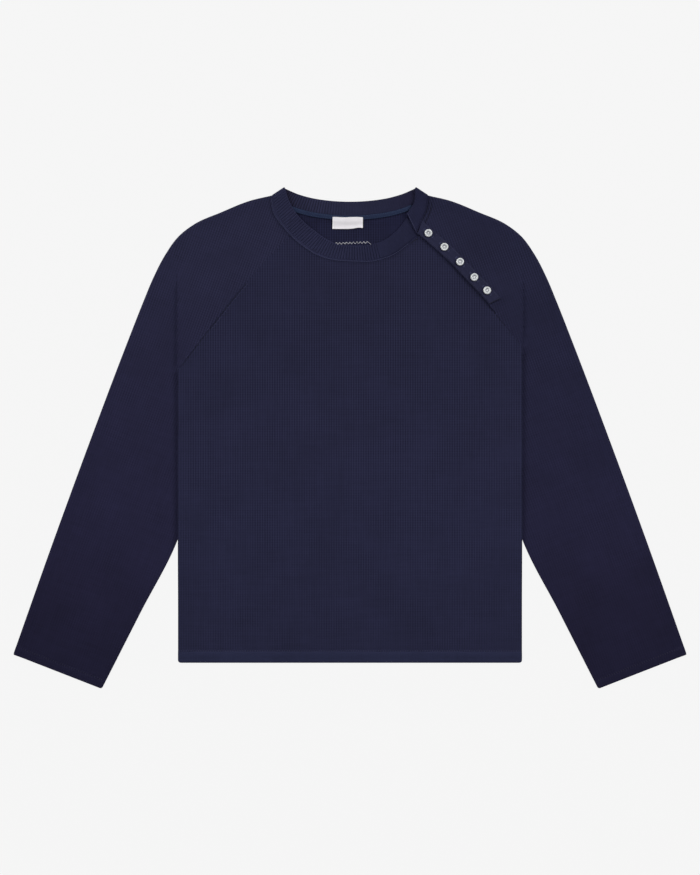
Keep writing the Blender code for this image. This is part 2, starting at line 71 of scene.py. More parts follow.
def evenly(line, spacing):  # the same line with its points evenly spaced
    reach = lineLength(line)
    at = np.linspace(0, reach[-1], max(2, int(round(reach[-1] / spacing)) + 1))
    return np.column_stack([np.interp(at, reach, line[:, c]) for c in range(line.shape[1])])


def direction(line):
    step = np.gradient(line[:, :2], axis=0)
    return step / np.linalg.norm(step, axis=1)[:, None]


def sideways(line, distance):  # moved to the left of its own direction
    step = direction(line)
    return line[:, :2] + np.column_stack((-step[:, 1], step[:, 0])) * distance


def nearestOnLine(points, line):  # distance to the line, the foot on it, how far along it that is
    best = np.full(len(points), 1e9)
    foot = np.zeros((len(points), 2))
    along = np.zeros(len(points))
    reach = lineLength(line)
    for k in range(len(line) - 1):
        run = line[k + 1] - line[k]
        size = max(run @ run, 1e-9)
        t = np.clip(((points - line[k]) @ run) / size, 0.0, 1.0)
        near = line[k] + t[:, None] * run
        gap = np.hypot(*(points - near).T)
        closer = gap < best
        best[closer], foot[closer] = gap[closer], near[closer]
        along[closer] = reach[k] + t[closer] * math.sqrt(size)
    return best, foot, along


def isInside(points, outline):
    after = np.roll(outline, -1, axis=0)
    count = np.zeros(len(points), int)
    for a, b in zip(outline, after):
        if a[1] != b[1]:
            crosses = (a[1] > points[:, 1]) != (b[1] > points[:, 1])
            at = a[0] + (points[:, 1] - a[1]) / (b[1] - a[1]) * (b[0] - a[0])
            count += crosses & (points[:, 0] < at)
    return count % 2 == 1


def softNoise(x, y, size, seed):  # gentle unevenness made of a few long waves
    dice = np.random.default_rng(seed)
    total = np.zeros_like(np.asarray(x, float))
    for _ in range(7):
        turn, phase = dice.uniform(0, 2 * math.pi, 2)
        wave = 2 * math.pi / (size * dice.uniform(0.7, 1.6))
        total += np.sin((x * math.cos(turn) + y * math.sin(turn)) * wave + phase)
    return total / 7


top = {  # the cut, and how its layers lie on each other
    "wall": 1.4, "turnedWall": 2.0, "gap": 0.3, "seamGap": 0.02,
    "halfWidth": 240.8, "hemY": -315.0, "hemDepth": 16.0, "cuffDepth": 11.5, "turnEdge": 1.5,
    "crossingY": -141.3, "hemCorner": 4.0, "cuffCorner": 3.0,
    "tuckLift": 3.4, "frontLoose": 0.6, "tuckIn": 26.0, "tuckRamp": 48.0, "tuckFade": 95.0,
    "creaseWidth": 1.7, "creaseFade": (186.0, 244.0), "backFade": 30.0, "sleeveDrop": 14.0,
    "foldSpread": 1.3, "foldReach": 16.0, "underarmPuff": 0.7, "puffInset": 20.0,
    "puffReach": (60.0, 70.0), "fullBelow": 6.0, "tuckRun": (3.0, 12.0), "foldSquare": 14.0,
}
outerEdge = (  # the folded outer edge of a sleeve, from the cuff to the neckband: x, y
    (471.5, -303.1), (415.0, -143.4), (363.7, -3.4), (310.7, 136.6), (289.8, 189.8), (275.8, 223.4),
    (258.4, 257.0), (240.0, 282.2), (218.4, 299.0), (180.6, 315.8), (138.2, 332.6), (111.3, 338.9),
)
sleeveInner = (  # its underarm seam, from the cuff up
    (347.6, -351.4), (293.6, -245.2), (240.8, -141.3), (221.5, -80.0), (218.0, -20.0), (224.0, 40.0),
)
placketFoot = (193.8, 186.6)
sides = {  # the raglan seams by the wearer's side, from the underarm to the neck
    "right": {
        "sign": -1, "underarmY": 95.0, "grain": (0.341, 0.940), "pressed": 1.1,
        "frontRaglan": ((240.8, 95.0), (195.0, 155.5), (150.0, 212.5), (115.0, 251.8), (83.6, 284.2)),
        "backRaglan": ((240.8, 95.0), (205.0, 148.0), (168.0, 206.0), (131.0, 267.0), (96.3, 329.3)),
    },
    "left": {
        "sign": 1, "underarmY": 127.0, "grain": (-0.341, 0.940), "pressed": 0.25,
        "frontRaglan": ((240.8, 127.0), (216.6, 157.8), placketFoot, (163.1, 219.8), (138.0, 246.3),
                        (113.1, 268.8), (92.8, 286.2)),
        "backRaglan": ((240.8, 127.0), (205.0, 172.0), (168.0, 222.0), (131.0, 275.0), (96.3, 329.3)),
    },
}


def underarmAt(x):
    return np.where(np.asarray(x) > 0, sides["left"]["underarmY"], sides["right"]["underarmY"])


def tuckRamp(x):  # 1 over the tucked edge of a sleeve
    out = np.abs(x) - top["halfWidth"]
    rise = ease(-top["tuckIn"] - top["tuckRamp"], -top["tuckIn"], out)
    return rise * (1 - ease(0.0, top["creaseWidth"], out))


def frontFade(y):  # the crease of a side runs on above the underarm
    return 1 - ease(*top["creaseFade"], y)


def backFade(x, y):
    return 1 - ease(0.0, top["backFade"], y - underarmAt(x))


def loosely(lift):  # a front layer follows lifted cloth less tightly
    return lift + top["frontLoose"] * np.sqrt(np.maximum(lift, 0) / top["tuckLift"])


def bodyLift(x, y, fade):
    full = top["crossingY"] - top["fullBelow"]
    return top["tuckLift"] * tuckRamp(x) * ease(full - top["tuckFade"], full, y) * fade


def leaveUnderarm(x, y):
    return ease(-top["sleeveDrop"], 0.0, y - underarmAt(x))


def sleeveLift(x, y, fade):
    return top["tuckLift"] * tuckRamp(x) * leaveUnderarm(x, y) * fade


def puff(x, y):  # loose cloth round the underarm
    dx = (np.abs(x) - top["halfWidth"] + top["puffInset"]) / top["puffReach"][0]
    dy = (y - underarmAt(x) - top["puffInset"]) / top["puffReach"][1]
    return top["underarmPuff"] * np.exp(-dx * dx - dy * dy)


placket = {
    "stripWall": 0.9, "stripEdge": 1.0, "stripWidth": 17.5, "stripSkew": (-7.2, 4.4), "stripStart": 1.8,
    "standWidth": 13.0, "standSkew": (0.0, -2.0), "standStart": 5.8,
    "lift": 2.4, "length": 146.0, "footFade": 14.0, "sideFade": (4.0, 28.0),
    "stitchInset": (1.9, 15.6), "ridge": 0.45, "edgeThin": 0.35, "edgeThinWidth": 1.6,
    "relief": (  # ridges and grooves across the strip: place, width, share
        (3.5, 1.1, 1.0), (14.1, 1.1, 1.0), (10.2, 1.6, 0.7), (1.9, 0.7, -0.7), (15.6, 0.7, -0.7),
    ),
    # footShadow: where the painted shadow at the strip's foot runs, across the strip
    "footShadow": (0.4, 17.0), "uneven": (0.4, 22, 5), "points": (15, 150), "rounding": 0.3,
}


def placketRise(x, y):  # how far the left sleeve stands up over the button stand
    start = np.array(sides["left"]["frontRaglan"][-1])
    along = np.array(placketFoot) - start
    along /= np.linalg.norm(along)
    down = (x - start[0]) * along[0] + (y - start[1]) * along[1]
    past = (y - start[1]) * along[0] - (x - start[0]) * along[1] - placket["standWidth"]
    rise = 1 - ease(placket["length"], placket["length"] + placket["footFade"], down)
    return placket["lift"] * rise * (1 - ease(*placket["sideFade"], past)) * (np.asarray(x) > 0)


def frontZ(x, y, wall=top["wall"]):  # the middle of the front's wall
    return wall * 1.5 + top["gap"] + loosely(bodyLift(x, y, frontFade(y))) + puff(x, y)


def backZ(x, y, wall):
    return wall / 2 + bodyLift(x, y, backFade(x, y))


def sleeveFrontZ(x, y, wall=top["wall"]):
    rise = loosely(sleeveLift(x, y, frontFade(y))) + puff(x, y) * leaveUnderarm(x, y)
    return wall * 1.5 + top["gap"] + rise + placketRise(x, y)


def sleeveBackZ(x, y, wall):
    return wall / 2 + sleeveLift(x, y, backFade(x, y))


def turnedWall(depth, fromEdge):  # double cloth up to the stitching of a hem or cuff
    single = ease(depth - top["turnEdge"], depth + top["turnEdge"], fromEdge)
    return top["turnedWall"] + (top["wall"] - top["turnedWall"]) * single


band = {
    "wall": 2.0, "setBack": 0.02, "ribs": 139, "turnSteps": 6, "backZ": 1.0, "shoulderZ": 4.8,
    "shoulderPeak": (92.3, 351.4), "shoulderSeam": (111.3, 338.9), "shoulderClear": 4.0,
    "frontNeckX": (-83.6, 96.5), "backNeckX": (-96.3, 96.3),
    # foldShade: how far along the back the painted shade beside a shoulder fold reaches
    "ribDepth": 1.1, "perRib": 6, "ribFaces": (2, 7), "clearRibs": 0.4, "foldShade": 6.8,
    "endFade": 10, "edgeTop": 0.92, "turnedFrom": 0.05,
    "backBelow": 2.0, "backFrom": 305.0, "backRibs": 0.42, "backLoss": 0.3, "backFlat": (-25, 15),
    "frontRibs": 0.65, "frontClear": (-95, -65), "frontLoss": 0.85, "frontFlat": (20, 48),
}
bandRows = {  # free edge x, y, seam edge x, y, and the height of the middle
    "placket end": (
        (79.4, 314.0, 92.8, 286.2, 5.4), (85.3, 322.0, 100.3, 303.0, 5.3),
        (90.4, 332.5, 106.6, 318.0, 4.9),
    ),
    "back": (
        (70.7, 340.6, 80.0, 321.4, 1.0), (53.9, 336.0, 60.5, 315.3, 1.0),
        (28.7, 332.2, 32.0, 310.6, 1.0), (0.0, 330.8, 0.0, 308.8, 1.0),
        (-28.7, 332.2, -32.0, 310.6, 1.0), (-53.9, 336.0, -60.5, 315.3, 1.0),
        (-70.7, 340.6, -80.0, 321.4, 1.0),
    ),
    "front": (
        (-86.1, 334.0, -106.7, 315.8, 4.2), (-76.3, 315.8, -96.0, 299.0, 4.2),
        (-62.6, 300.6, -82.0, 282.6, 4.0), (-47.5, 288.5, -67.2, 269.5, 3.6),
        (-33.7, 278.6, -47.5, 256.6, 3.3), (-18.0, 271.4, -26.0, 249.4, 3.1),
        (2.8, 268.9, 2.0, 246.8, 3.0), (30.0, 270.6, 34.7, 247.2, 3.0),
        (49.0, 277.7, 60.5, 255.4, 3.0), (65.1, 289.9, 81.0, 269.6, 2.9),
        (74.0, 300.5, 96.3, 282.7, 2.8), (79.0, 307.5, 104.5, 291.0, 2.75),
    ),
}


def shoulderOut():  # the way a shoulder fold faces
    line = np.array(band["shoulderSeam"]) - np.array(band["shoulderPeak"])
    return np.array((-line[1], line[0])) / np.linalg.norm(line)


def shoulderTurn(sign):  # sections round a shoulder fold, from the front level to the back one
    peak, seam, out = np.array(band["shoulderPeak"]), np.array(band["shoulderSeam"]), shoulderOut()
    radius = (band["shoulderZ"] - band["backZ"]) / 2
    rows = []
    for k in range(band["turnSteps"] + 1):
        turn = math.pi * (0.5 - k / band["turnSteps"])
        shift = out * (radius * math.cos(turn) - radius - band["wall"] / 2)
        z = (band["shoulderZ"] + band["backZ"]) / 2 + radius * math.sin(turn)
        (freeX, freeY), (seamX, seamY) = peak + shift, seam + shift
        rows.append((sign * freeX, freeY, sign * seamX, seamY, z))
    return np.array(rows)


def bandStretch(name):  # the sections of one stretch of the neckband, close together
    left, right = shoulderTurn(1), shoulderTurn(-1)
    rows = {
        "placket end": (bandRows["placket end"], left[:1]),
        "back": (left[-1:], bandRows["back"], right[-1:]),
        "front": (right[:1], bandRows["front"]),
    }[name]
    return curveThrough(np.vstack(rows), np.linspace(0, 1, 300))


stretches = {name: bandStretch(name) for name in bandRows}
neckSeam = {name: rows[:, 2:4] for name, rows in stretches.items()}


def raglanLine(side, name):
    return curveThrough(side[name], np.linspace(0, 1, 80)) * (side["sign"], 1)


def bodyOutline(front):  # anticlockwise from the wearer's right hem corner, and its corners
    name = "frontRaglan" if front else "backRaglan"
    start, end = band["frontNeckX"] if front else band["backNeckX"]
    right = raglanLine(sides["right"], name)
    left = raglanLine(sides["left"], name)[::-1]
    neck = neckSeam["front" if front else "back"]
    neck = neck[np.argsort(neck[:, 0])]
    neck = neck[(neck[:, 0] > start) & (neck[:, 0] < end)]
    parts = [right[right[:, 0] <= start], neck, left[left[:, 0] >= end]]
    edge = np.concatenate([sideways(part, -top["seamGap"]) for part in parts])
    edge = edge[np.argsort(edge[:, 0], kind="stable")]
    sideX = top["halfWidth"] - top["seamGap"]
    ends = [(sign * sideX, float(np.interp(sign * sideX, edge[:, 0], edge[:, 1]))) for sign in (-1, 1)]
    edge = edge[np.abs(edge[:, 0]) < sideX - top["gap"]]
    low, radius = top["hemY"], top["hemCorner"]
    turns = np.linspace(0, math.pi / 2, 7)
    arc = np.column_stack((sideX - radius * (1 - np.sin(turns)), low + radius * (1 - np.cos(turns))))
    hem = np.vstack((arc[::-1] * (-1, 1), [(x, low) for x in np.linspace(-200, 200, 30)], arc))
    corners = [arc[3] * (-1, 1), arc[3], ends[1], ends[0]]
    return np.vstack((hem, ends[1:], edge[::-1], ends[:1])), corners


def neckEnd(side, front, end):  # the neck seam of a sleeve, from the raglan seam to the shoulder
    name = "back" if not front else "placket end" if side["sign"] > 0 else "front"
    seam = neckSeam[name]
    seam = seam[seam[:, 0] * side["sign"] > 0] * (side["sign"], 1)
    raglan = np.array(side["frontRaglan" if front else "backRaglan"][-1])
    clear = np.linalg.norm(seam - band["shoulderSeam"], axis=1) > band["shoulderClear"]
    seam = seam[clear & (seam[:, 1] > raglan[1] + top["gap"])]
    return np.vstack((raglan, seam[np.argsort(seam[:, 1])], end))


def sewnEdge(side, front):  # the sewn edge of a sleeve, from the cuff to the neck
    y = side["underarmY"]
    drop = y - top["sleeveDrop"]
    inwards, run = top["tuckRun"]
    below = (*sleeveInner, (top["halfWidth"] - inwards, drop - run), (top["halfWidth"], drop),
             (top["halfWidth"], y))
    under = curveThrough(below, np.linspace(0, 1, 90))
    beside = under[:, 1] > drop - run  # no gap beside the body's edge
    under[beside, 0] = np.minimum(under[beside, 0], top["halfWidth"])
    raglan = curveThrough(side["frontRaglan" if front else "backRaglan"], np.linspace(0, 1, 60))
    return np.vstack((under[:-1], raglan))


foldOut = (top["wall"] * 2 + top["gap"] + top["foldSpread"]) / 2  # from the rim line to the folded edge


def foldWays(line):  # outwards from the folded edge, square to the cuff and the band at its ends
    step = direction(line)
    ways = np.column_stack((step[:, 1], -step[:, 0]))
    reach = lineLength(line)
    cuff = np.array(outerEdge[0]) - np.array(sleeveInner[0])
    shoulder = shoulderOut()
    for way, far in ((cuff / np.linalg.norm(cuff), reach), (shoulder, reach[-1] - reach)):
        share = (1 - ease(0, top["foldSquare"], far))[:, None]
        ways = ways * (1 - share) + way * share
    return ways / np.linalg.norm(ways, axis=1)[:, None]


rimLine = curveThrough(outerEdge, np.linspace(0, 1, 160))
rimWays = foldWays(rimLine)
rimLine = rimLine - rimWays * foldOut


def sleeveOutline(side, front):  # and its corners; clockwise for the left sleeve
    sewn = sewnEdge(side, front)
    neck = neckEnd(side, front, rimLine[-1])
    ways = np.array([rimLine[0] - sewn[0], sewn[1] - sewn[0]])
    ways *= top["cuffCorner"] / np.linalg.norm(ways, axis=1)[:, None]
    t = np.linspace(0, 1, 7)[:, None]
    corner = sewn[0] + (1 - t) ** 2 * ways[0] + t**2 * ways[1]
    beyond = sewn[np.linalg.norm(sewn - sewn[0], axis=1) > top["cuffCorner"]]
    outline = np.vstack((corner, beyond, neck[1:], rimLine[::-1][1:]))
    corners = [corner[3], sewn[-1], rimLine[-1], rimLine[0]]
    flip = np.array((side["sign"], 1))
    return outline * flip, [point * flip for point in corners]


print("cut and neck line ready")


def stand(name, data):  # puts a mesh, a lamp or the camera in the scene
    thing = bpy.data.objects.new(name, data)
    bpy.context.scene.collection.objects.link(thing)
    return thing


class Shell:  # collects the points and faces of one closed piece

    def __init__(self):
        self.points, self.faces, self.finish, self.count = [], [], [], 0

    def add(self, points):
        points = np.asarray(points, float).reshape(-1, 3)
        self.points.append(points)
        self.count += len(points)
        return np.arange(self.count - len(points), self.count)

    def cover(self, faces, finish=0, flip=False):
        faces = np.asarray(faces)
        self.faces.extend((faces[:, ::-1] if flip else faces).tolist())
        self.finish.extend([finish] * len(faces))

    def strip(self, upper, lower, finish=0, flip=False, closed=False):
        upper, lower = np.asarray(upper), np.asarray(lower)
        if closed:
            upper, lower = np.append(upper, upper[0]), np.append(lower, lower[0])
        if len(upper) == len(lower):
            self.cover(np.column_stack((lower[:-1], lower[1:], upper[1:], upper[:-1])), finish, flip)
            return
        a, b, made = 0, 0, []
        while a < len(upper) - 1 or b < len(lower) - 1:
            if b == len(lower) - 1 or (a + 1) / len(upper) <= (b + 1) / len(lower) and a < len(upper) - 1:
                made.append((lower[b], upper[a + 1], upper[a]))
                a += 1
            else:
                made.append((lower[b], lower[b + 1], upper[a]))
                b += 1
        self.cover(made, finish, flip)

    def grid(self, points, flip=False, around=False):  # rows of points, wrapped or not
        rows, columns = points.shape[:2]
        index = self.add(points).reshape(rows, columns)
        for k in range(rows - 1):
            self.strip(index[k], index[k + 1], flip=flip, closed=around)
        return index

    def make(self, name, finishes, slot, sharp=50.0):
        mesh = bpy.data.meshes.new(name)
        mesh.from_pydata((np.concatenate(self.points) * mm).tolist(), [], self.faces)
        for finish in finishes:
            mesh.materials.append(finish)
        if len(finishes) > 1:
            mesh.polygons.foreach_set("material_index", np.array(self.finish, np.int32))
        mesh.shade_smooth()
        mesh.set_sharp_from_angle(angle=math.radians(sharp))
        thing = stand(name, mesh)
        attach(thing, "root")
        return thing


knit = {"pitch": 3.45, "depth": 0.7, "bar": 0.4, "edgeDrop": (0.45, 0.12)}


class Lattice:  # a panel's points on the knit's own ribs and bars, fitted to the panel's outline

    def __init__(self, outline, corners, grain):
        outline = np.asarray(outline, float)
        x, y = outline.T
        if np.sum(x * np.roll(y, -1) - np.roll(x, -1) * y) < 0:
            outline = outline[::-1]
        self.outline = outline
        step = knit["pitch"] / 2
        grain = np.array(grain) / np.linalg.norm(grain)
        axes = np.array(((grain[1], -grain[0]), grain))
        flat = outline @ axes.T
        low = np.floor(flat.min(axis=0) / step).astype(int) - 1
        wide, tall = np.ceil(flat.max(axis=0) / step).astype(int) + 1 - low
        cells = self.tidyCells(self.cellsWithin(flat, low, wide, tall, step))
        p = np.pad(cells.astype(int), 1)
        around = p[:-1, :-1] + p[1:, :-1] + p[:-1, 1:] + p[1:, 1:]
        used = around > 0
        index = np.full(used.shape, -1)
        index[used] = np.arange(used.sum())
        rows, columns = np.nonzero(used)
        i, j = low[0] + columns, low[1] + rows
        self.spots = np.column_stack((i * step, j * step)) @ axes
        self.relief = np.where(i % 2 == 0, 1.0, np.where(j % 2 == 0, knit["bar"], 0.0))
        j, i = np.nonzero(cells)
        self.faces = np.column_stack((index[j, i], index[j, i + 1], index[j + 1, i + 1], index[j + 1, i]))
        self.loop = self.findLoop(cells, index)
        self.ring = self.ringsInward(np.zeros_like(used), rows, columns)
        self.snap(corners)
        for _ in range(2):
            self.settle(index, rows, columns)

    def cellsWithin(self, flat, low, wide, tall, step):  # the cells whose middles lie inside the outline
        after = np.roll(flat, -1, axis=0)
        middles = (low[0] + np.arange(wide) + 0.5) * step
        cells = np.zeros((tall, wide), bool)
        for j in range(tall):
            level = (low[1] + j + 0.5) * step
            cut = (flat[:, 1] > level) != (after[:, 1] > level)
            a, b = flat[cut], after[cut]
            at = np.sort(a[:, 0] + (level - a[:, 1]) / (b[:, 1] - a[:, 1]) * (b[:, 0] - a[:, 0]))
            cells[j] = np.searchsorted(at, middles) % 2 == 1
        return cells

    def ringsInward(self, near, rows, columns):  # 0 on the edge, 1 and 2 next to it, 3 further in
        rings = np.full(len(self.spots), 3)
        near[rows, columns] = np.isin(np.arange(len(rows)), self.loop)
        for ring in range(3):
            rings[near[rows, columns] & (rings == 3)] = ring
            grown = np.pad(near, 1)
            near = near | grown[:-2, 1:-1] | grown[2:, 1:-1] | grown[1:-1, :-2] | grown[1:-1, 2:]
        return rings

    def tidyCells(self, cells):  # no loose ends, no two cells that meet only at a corner
        for _ in range(20):
            before = cells.copy()
            p = np.pad(cells.astype(int), 1)
            cells &= p[:-2, 1:-1] + p[2:, 1:-1] + p[1:-1, :-2] + p[1:-1, 2:] >= 2
            a, b, c, d = cells[:-1, :-1], cells[1:, 1:], cells[:-1, 1:], cells[1:, :-1]
            rising, falling = a & b & ~c & ~d, ~a & ~b & c & d
            cells[1:, :-1] |= rising
            cells[:-1, :-1] |= falling
            if (cells == before).all():
                break
        return cells

    def findLoop(self, cells, index):  # the points round the edge, anticlockwise
        p = np.pad(cells, 1)
        follow = {}
        for bare, start, end in (
            (~p[:-2, 1:-1], (0, 0), (0, 1)), (~p[1:-1, 2:], (0, 1), (1, 1)),
            (~p[2:, 1:-1], (1, 1), (1, 0)), (~p[1:-1, :-2], (1, 0), (0, 0)),
        ):
            j, i = np.nonzero(cells & bare)
            a, b = index[j + start[0], i + start[1]], index[j + end[0], i + end[1]]
            follow.update(zip(a.tolist(), b.tolist()))
        loop = [min(follow)]
        while follow[loop[-1]] != loop[0]:
            loop.append(follow[loop[-1]])
        if len(loop) != len(follow):
            print("  a panel has more than one edge", len(loop), len(follow))
        return np.array(loop)

    def snap(self, corners):  # puts the edge points evenly on the outline
        line = np.vstack((self.outline, self.outline[:1]))
        reach = lineLength(line)
        whole = reach[-1]
        here = self.spots[self.loop]
        _, _, at = nearestOnLine(here, line)
        step = (np.diff(at) + whole / 2) % whole - whole / 2
        at = at[0] + np.concatenate(([0.0], np.cumsum(step)))
        fixed = np.zeros(len(at), bool)
        self.cornerAt = []
        for corner in corners:
            k = int(np.argmin(np.linalg.norm(here - corner, axis=1)))
            _, _, place = nearestOnLine(np.array([corner]), line)
            at[k] = place[0] + round((at[k] - place[0]) / whole) * whole
            fixed[k] = True
            self.cornerAt.append(k)
        for _ in range(24):
            before, later = np.roll(at, 1), np.roll(at, -1)
            before[0] -= whole
            later[-1] += whole
            at = np.where(fixed, at, 0.5 * at + 0.25 * (before + later))
        at = at % whole
        self.spots[self.loop] = np.column_stack([np.interp(at, reach, line[:, c]) for c in (0, 1)])

    def settle(self, index, rows, columns):  # evens out the points next to the edge
        near = np.nonzero(self.ring == 1)[0]
        j, i = rows[near], columns[near]
        around = [self.spots[index[j + dj, i + di]] for dj, di in ((0, 1), (0, -1), (1, 0), (-1, 0))]
        self.spots[near] = sum(around) / 4

    def run(self, start, end):  # positions round the loop from one corner to another
        a, b = self.cornerAt[start], self.cornerAt[end]
        return np.arange(a, b + 1 if b > a else b + 1 + len(self.loop)) % len(self.loop)


def fillBetween(points, loops, nearest):
    # Triangles over flat points, and their middles; the loops' points come first and their edges are kept
    edges, start = [], 0
    for loop in loops:
        edges += [(start + k, start + (k + 1) % len(loop)) for k in range(len(loop))]
        start += len(loop)
    places = [tuple(point) for point in points]
    _, _, faces, origins, _, _ = geometry.delaunay_2d_cdt(places, edges, [], 1, nearest)
    faces = np.array([[origins[k][0] for k in face] for face in faces])
    a, b, c = (points[faces[:, k]] for k in range(3))
    turns = (b - a)[:, 0] * (c - a)[:, 1] - (b - a)[:, 1] * (c - a)[:, 0]
    faces[turns < 0] = faces[turns < 0][:, ::-1]
    return faces, (a + b + c) / 3


def coverFace(shell, edge, heights, spacing, finish=0, flip=False, patch=None):
    # Covers a hidden face with large triangles; a patch is a lattice set into it, with its points
    flat = np.concatenate(shell.points)[edge][:, :2]
    low, high = flat.min(axis=0), flat.max(axis=0)
    across = np.arange(low[0], high[0], spacing)
    up = np.arange(low[1], high[1], spacing * 0.87)
    points = np.array([(x + (k % 2) * spacing / 2, y) for k, y in enumerate(up) for x in across])
    rings, ids = [flat], [edge]
    if patch:
        lattice, index = patch
        rings.append(lattice.spots[lattice.loop])
        ids.append(index[lattice.loop])
    keep = isInside(points, flat)
    for k, ring in enumerate(rings):
        far, _, _ = nearestOnLine(points, np.vstack((ring, ring[:1]))[::2])
        keep &= far > spacing * 0.55
        if k:
            keep &= ~isInside(points, ring)
    points = points[keep]
    ids.append(shell.add(np.column_stack((points, heights(points[:, 0], points[:, 1])))))
    faces, middles = fillBetween(np.vstack((*rings, points)), rings, 1e-4)
    if patch:
        faces = faces[~isInside(middles, rings[1])]
    shell.cover(np.concatenate(ids)[faces], finish, flip)


def creaseHeight(x, y, creases):  # soft ridges as listed: points, width, height
    total = np.zeros_like(x)
    for points, width, height in creases:
        line = curveThrough(points, np.linspace(0, 1, 24))
        gap, _, along = nearestOnLine(np.column_stack((x, y)), line)
        whole = lineLength(line)[-1]
        ends = ease(0, 0.3 * whole, along) * (1 - ease(0.7 * whole, whole, along))
        total += height * ends * bell(gap, width)
    return total


def distanceTo(x, y, line):
    return nearestOnLine(np.column_stack((x, y)), line)[0]


stitchForm = {  # rings: place along the stitch, share of its radius, how far it lies below the middle
    "sides": 6,
    "rings": ((-0.5, 0.35, -0.9), (-0.34, 0.95, -0.15), (0.34, 0.95, -0.15), (0.5, 0.35, -0.9)),
}


def stitchMesh(shell, middles, ways, length, radius):
    # One closed thread loop at each middle; its ends dip into the cloth
    middles, ways = np.asarray(middles, float), np.asarray(ways, float)
    ways = ways / np.linalg.norm(ways, axis=1)[:, None]
    count, rings, sides = len(middles), len(stitchForm["rings"]), stitchForm["sides"]
    turns = 2 * math.pi * np.arange(sides) / sides
    points = np.zeros((count, rings, sides, 3))
    for r, (place, size, dip) in enumerate(stitchForm["rings"]):
        for s, turn in enumerate(turns):
            side = radius * size * math.cos(turn)
            points[:, r, s, 0] = middles[:, 0] + ways[:, 0] * place * length - ways[:, 1] * side
            points[:, r, s, 1] = middles[:, 1] + ways[:, 1] * place * length + ways[:, 0] * side
            points[:, r, s, 2] = middles[:, 2] + radius * (size * math.sin(turn) + dip)
    index = shell.add(points).reshape(count, rings, sides)
    after = np.roll(index, -1, axis=2)
    for r in range(rings - 1):
        quads = np.stack((index[:, r], after[:, r], after[:, r + 1], index[:, r + 1]), axis=-1)
        shell.cover(quads.reshape(-1, 4))
    shell.cover(index[:, 0], flip=True)
    shell.cover(index[:, -1])


def stitchLine(shell, line, heights, spacing, length, radius, turn, lift=0.0):
    # A row of stitches along a line; turn sets them across it
    line = evenly(np.asarray(line, float)[:, :2], spacing)
    middles = (line[1:] + line[:-1]) / 2
    ways = np.diff(line, axis=0)
    ways /= np.linalg.norm(ways, axis=1)[:, None]
    c, s = math.cos(turn), math.sin(turn)
    ways = np.column_stack((ways[:, 0] * c - ways[:, 1] * s, ways[:, 0] * s + ways[:, 1] * c))
    z = heights(middles[:, 0], middles[:, 1]) + lift
    stitchMesh(shell, np.column_stack((middles, z)), ways, length, radius)


print("mesh tools ready")


def linear(colour):  # from 0-255 on screen to the shader's own scale
    return (*[((c / 255 + 0.055) / 1.055) ** 2.4 for c in colour], 1.0)


class Finish:  # a material with a few helpers for its nodes

    def __init__(self, name):
        self.material = bpy.data.materials.new(name)
        self.material.use_nodes = True
        self.nodes = self.material.node_tree.nodes
        self.links = self.material.node_tree.links
        self.shader = self.nodes["Principled BSDF"]
        self.place = self.add("TexCoord").outputs["Object"]

    def add(self, kind, values=None, **settings):
        made = self.nodes.new("ShaderNode" + kind)
        for key, value in settings.items():
            setattr(made, key, value)
        for key, value in (values or {}).items():
            self.put(made.inputs[key], value)
        return made

    def put(self, socket, value):
        if isinstance(value, bpy.types.NodeSocket):
            self.links.new(value, socket)
        else:
            socket.default_value = value

    def set(self, **values):
        for key, value in values.items():
            self.put(self.shader.inputs[key.replace("_", " ")], value)

    def noise(self, size, detail, place=None, roughness=0.5):  # size of its blotches in mm
        values = {"Vector": place or self.place, "Scale": 1000.0 / size, "Detail": detail,
                  "Roughness": roughness}
        return self.add("TexNoise", values).outputs["Fac"]

    def wave(self, period, way, place=None, wobble=0.0):  # period in mm
        values = {"Vector": place or self.place, "Scale": 314.16 / period, "Distortion": wobble,
                  "Detail": 0.0}
        made = self.add("TexWave", values, wave_type="BANDS", bands_direction=way, wave_profile="SIN")
        return made.outputs["Fac"]

    def math(self, operation, a, b):
        return self.add("Math", {0: a, 1: b}, operation=operation).outputs[0]

    def spread(self, value, low, high, start=0.3, end=0.7):
        values = {"Value": value, "From Min": start, "From Max": end, "To Min": low, "To Max": high}
        return self.add("MapRange", values).outputs["Result"]

    def ramp(self, level, stops):  # a value that changes from one place in mm to the next
        value = stops[0][1]
        for (before, low), (after, high) in zip(stops, stops[1:]):
            value = self.math("ADD", self.spread(level, 0.0, high - low, before * mm, after * mm), value)
        return value

    def mix(self, share, a, b):
        return self.add("Mix", {0: share, 6: a, 7: b}, data_type="RGBA").outputs[2]

    def bump(self, height, distance):
        values = {"Height": height, "Distance": distance * mm, "Strength": 1.0}
        return self.add("Bump", values).outputs["Normal"]


# hollow, bars, patch and patchShare set the painted shade in the waffle's hollows
clothLook = {
    "shade": (0.84, 1.16), "blotch": 70.0, "fibre": 0.5, "streak": 4.5, "drawn": 0.12,
    "wale": 0.8625, "course": 1.1, "stitchBump": 0.16, "hollow": 0.32, "bars": 0.4, "patch": 45.0,
    "rough": (0.84, 0.96), "sheen": 0.03, "sheenRough": 0.4, "sheenTint": (0.45, 0.5, 1.0, 1.0),
    "specular": 0.06, "blotchShare": (0.18, 0.42), "fibreShare": (0.0, 0.4), "streakShare": (-0.07, 0.07),
    "patchShare": (0.4, 1.6), "fibreHeight": 0.5, "wobble": (0.4, 0.6),
}


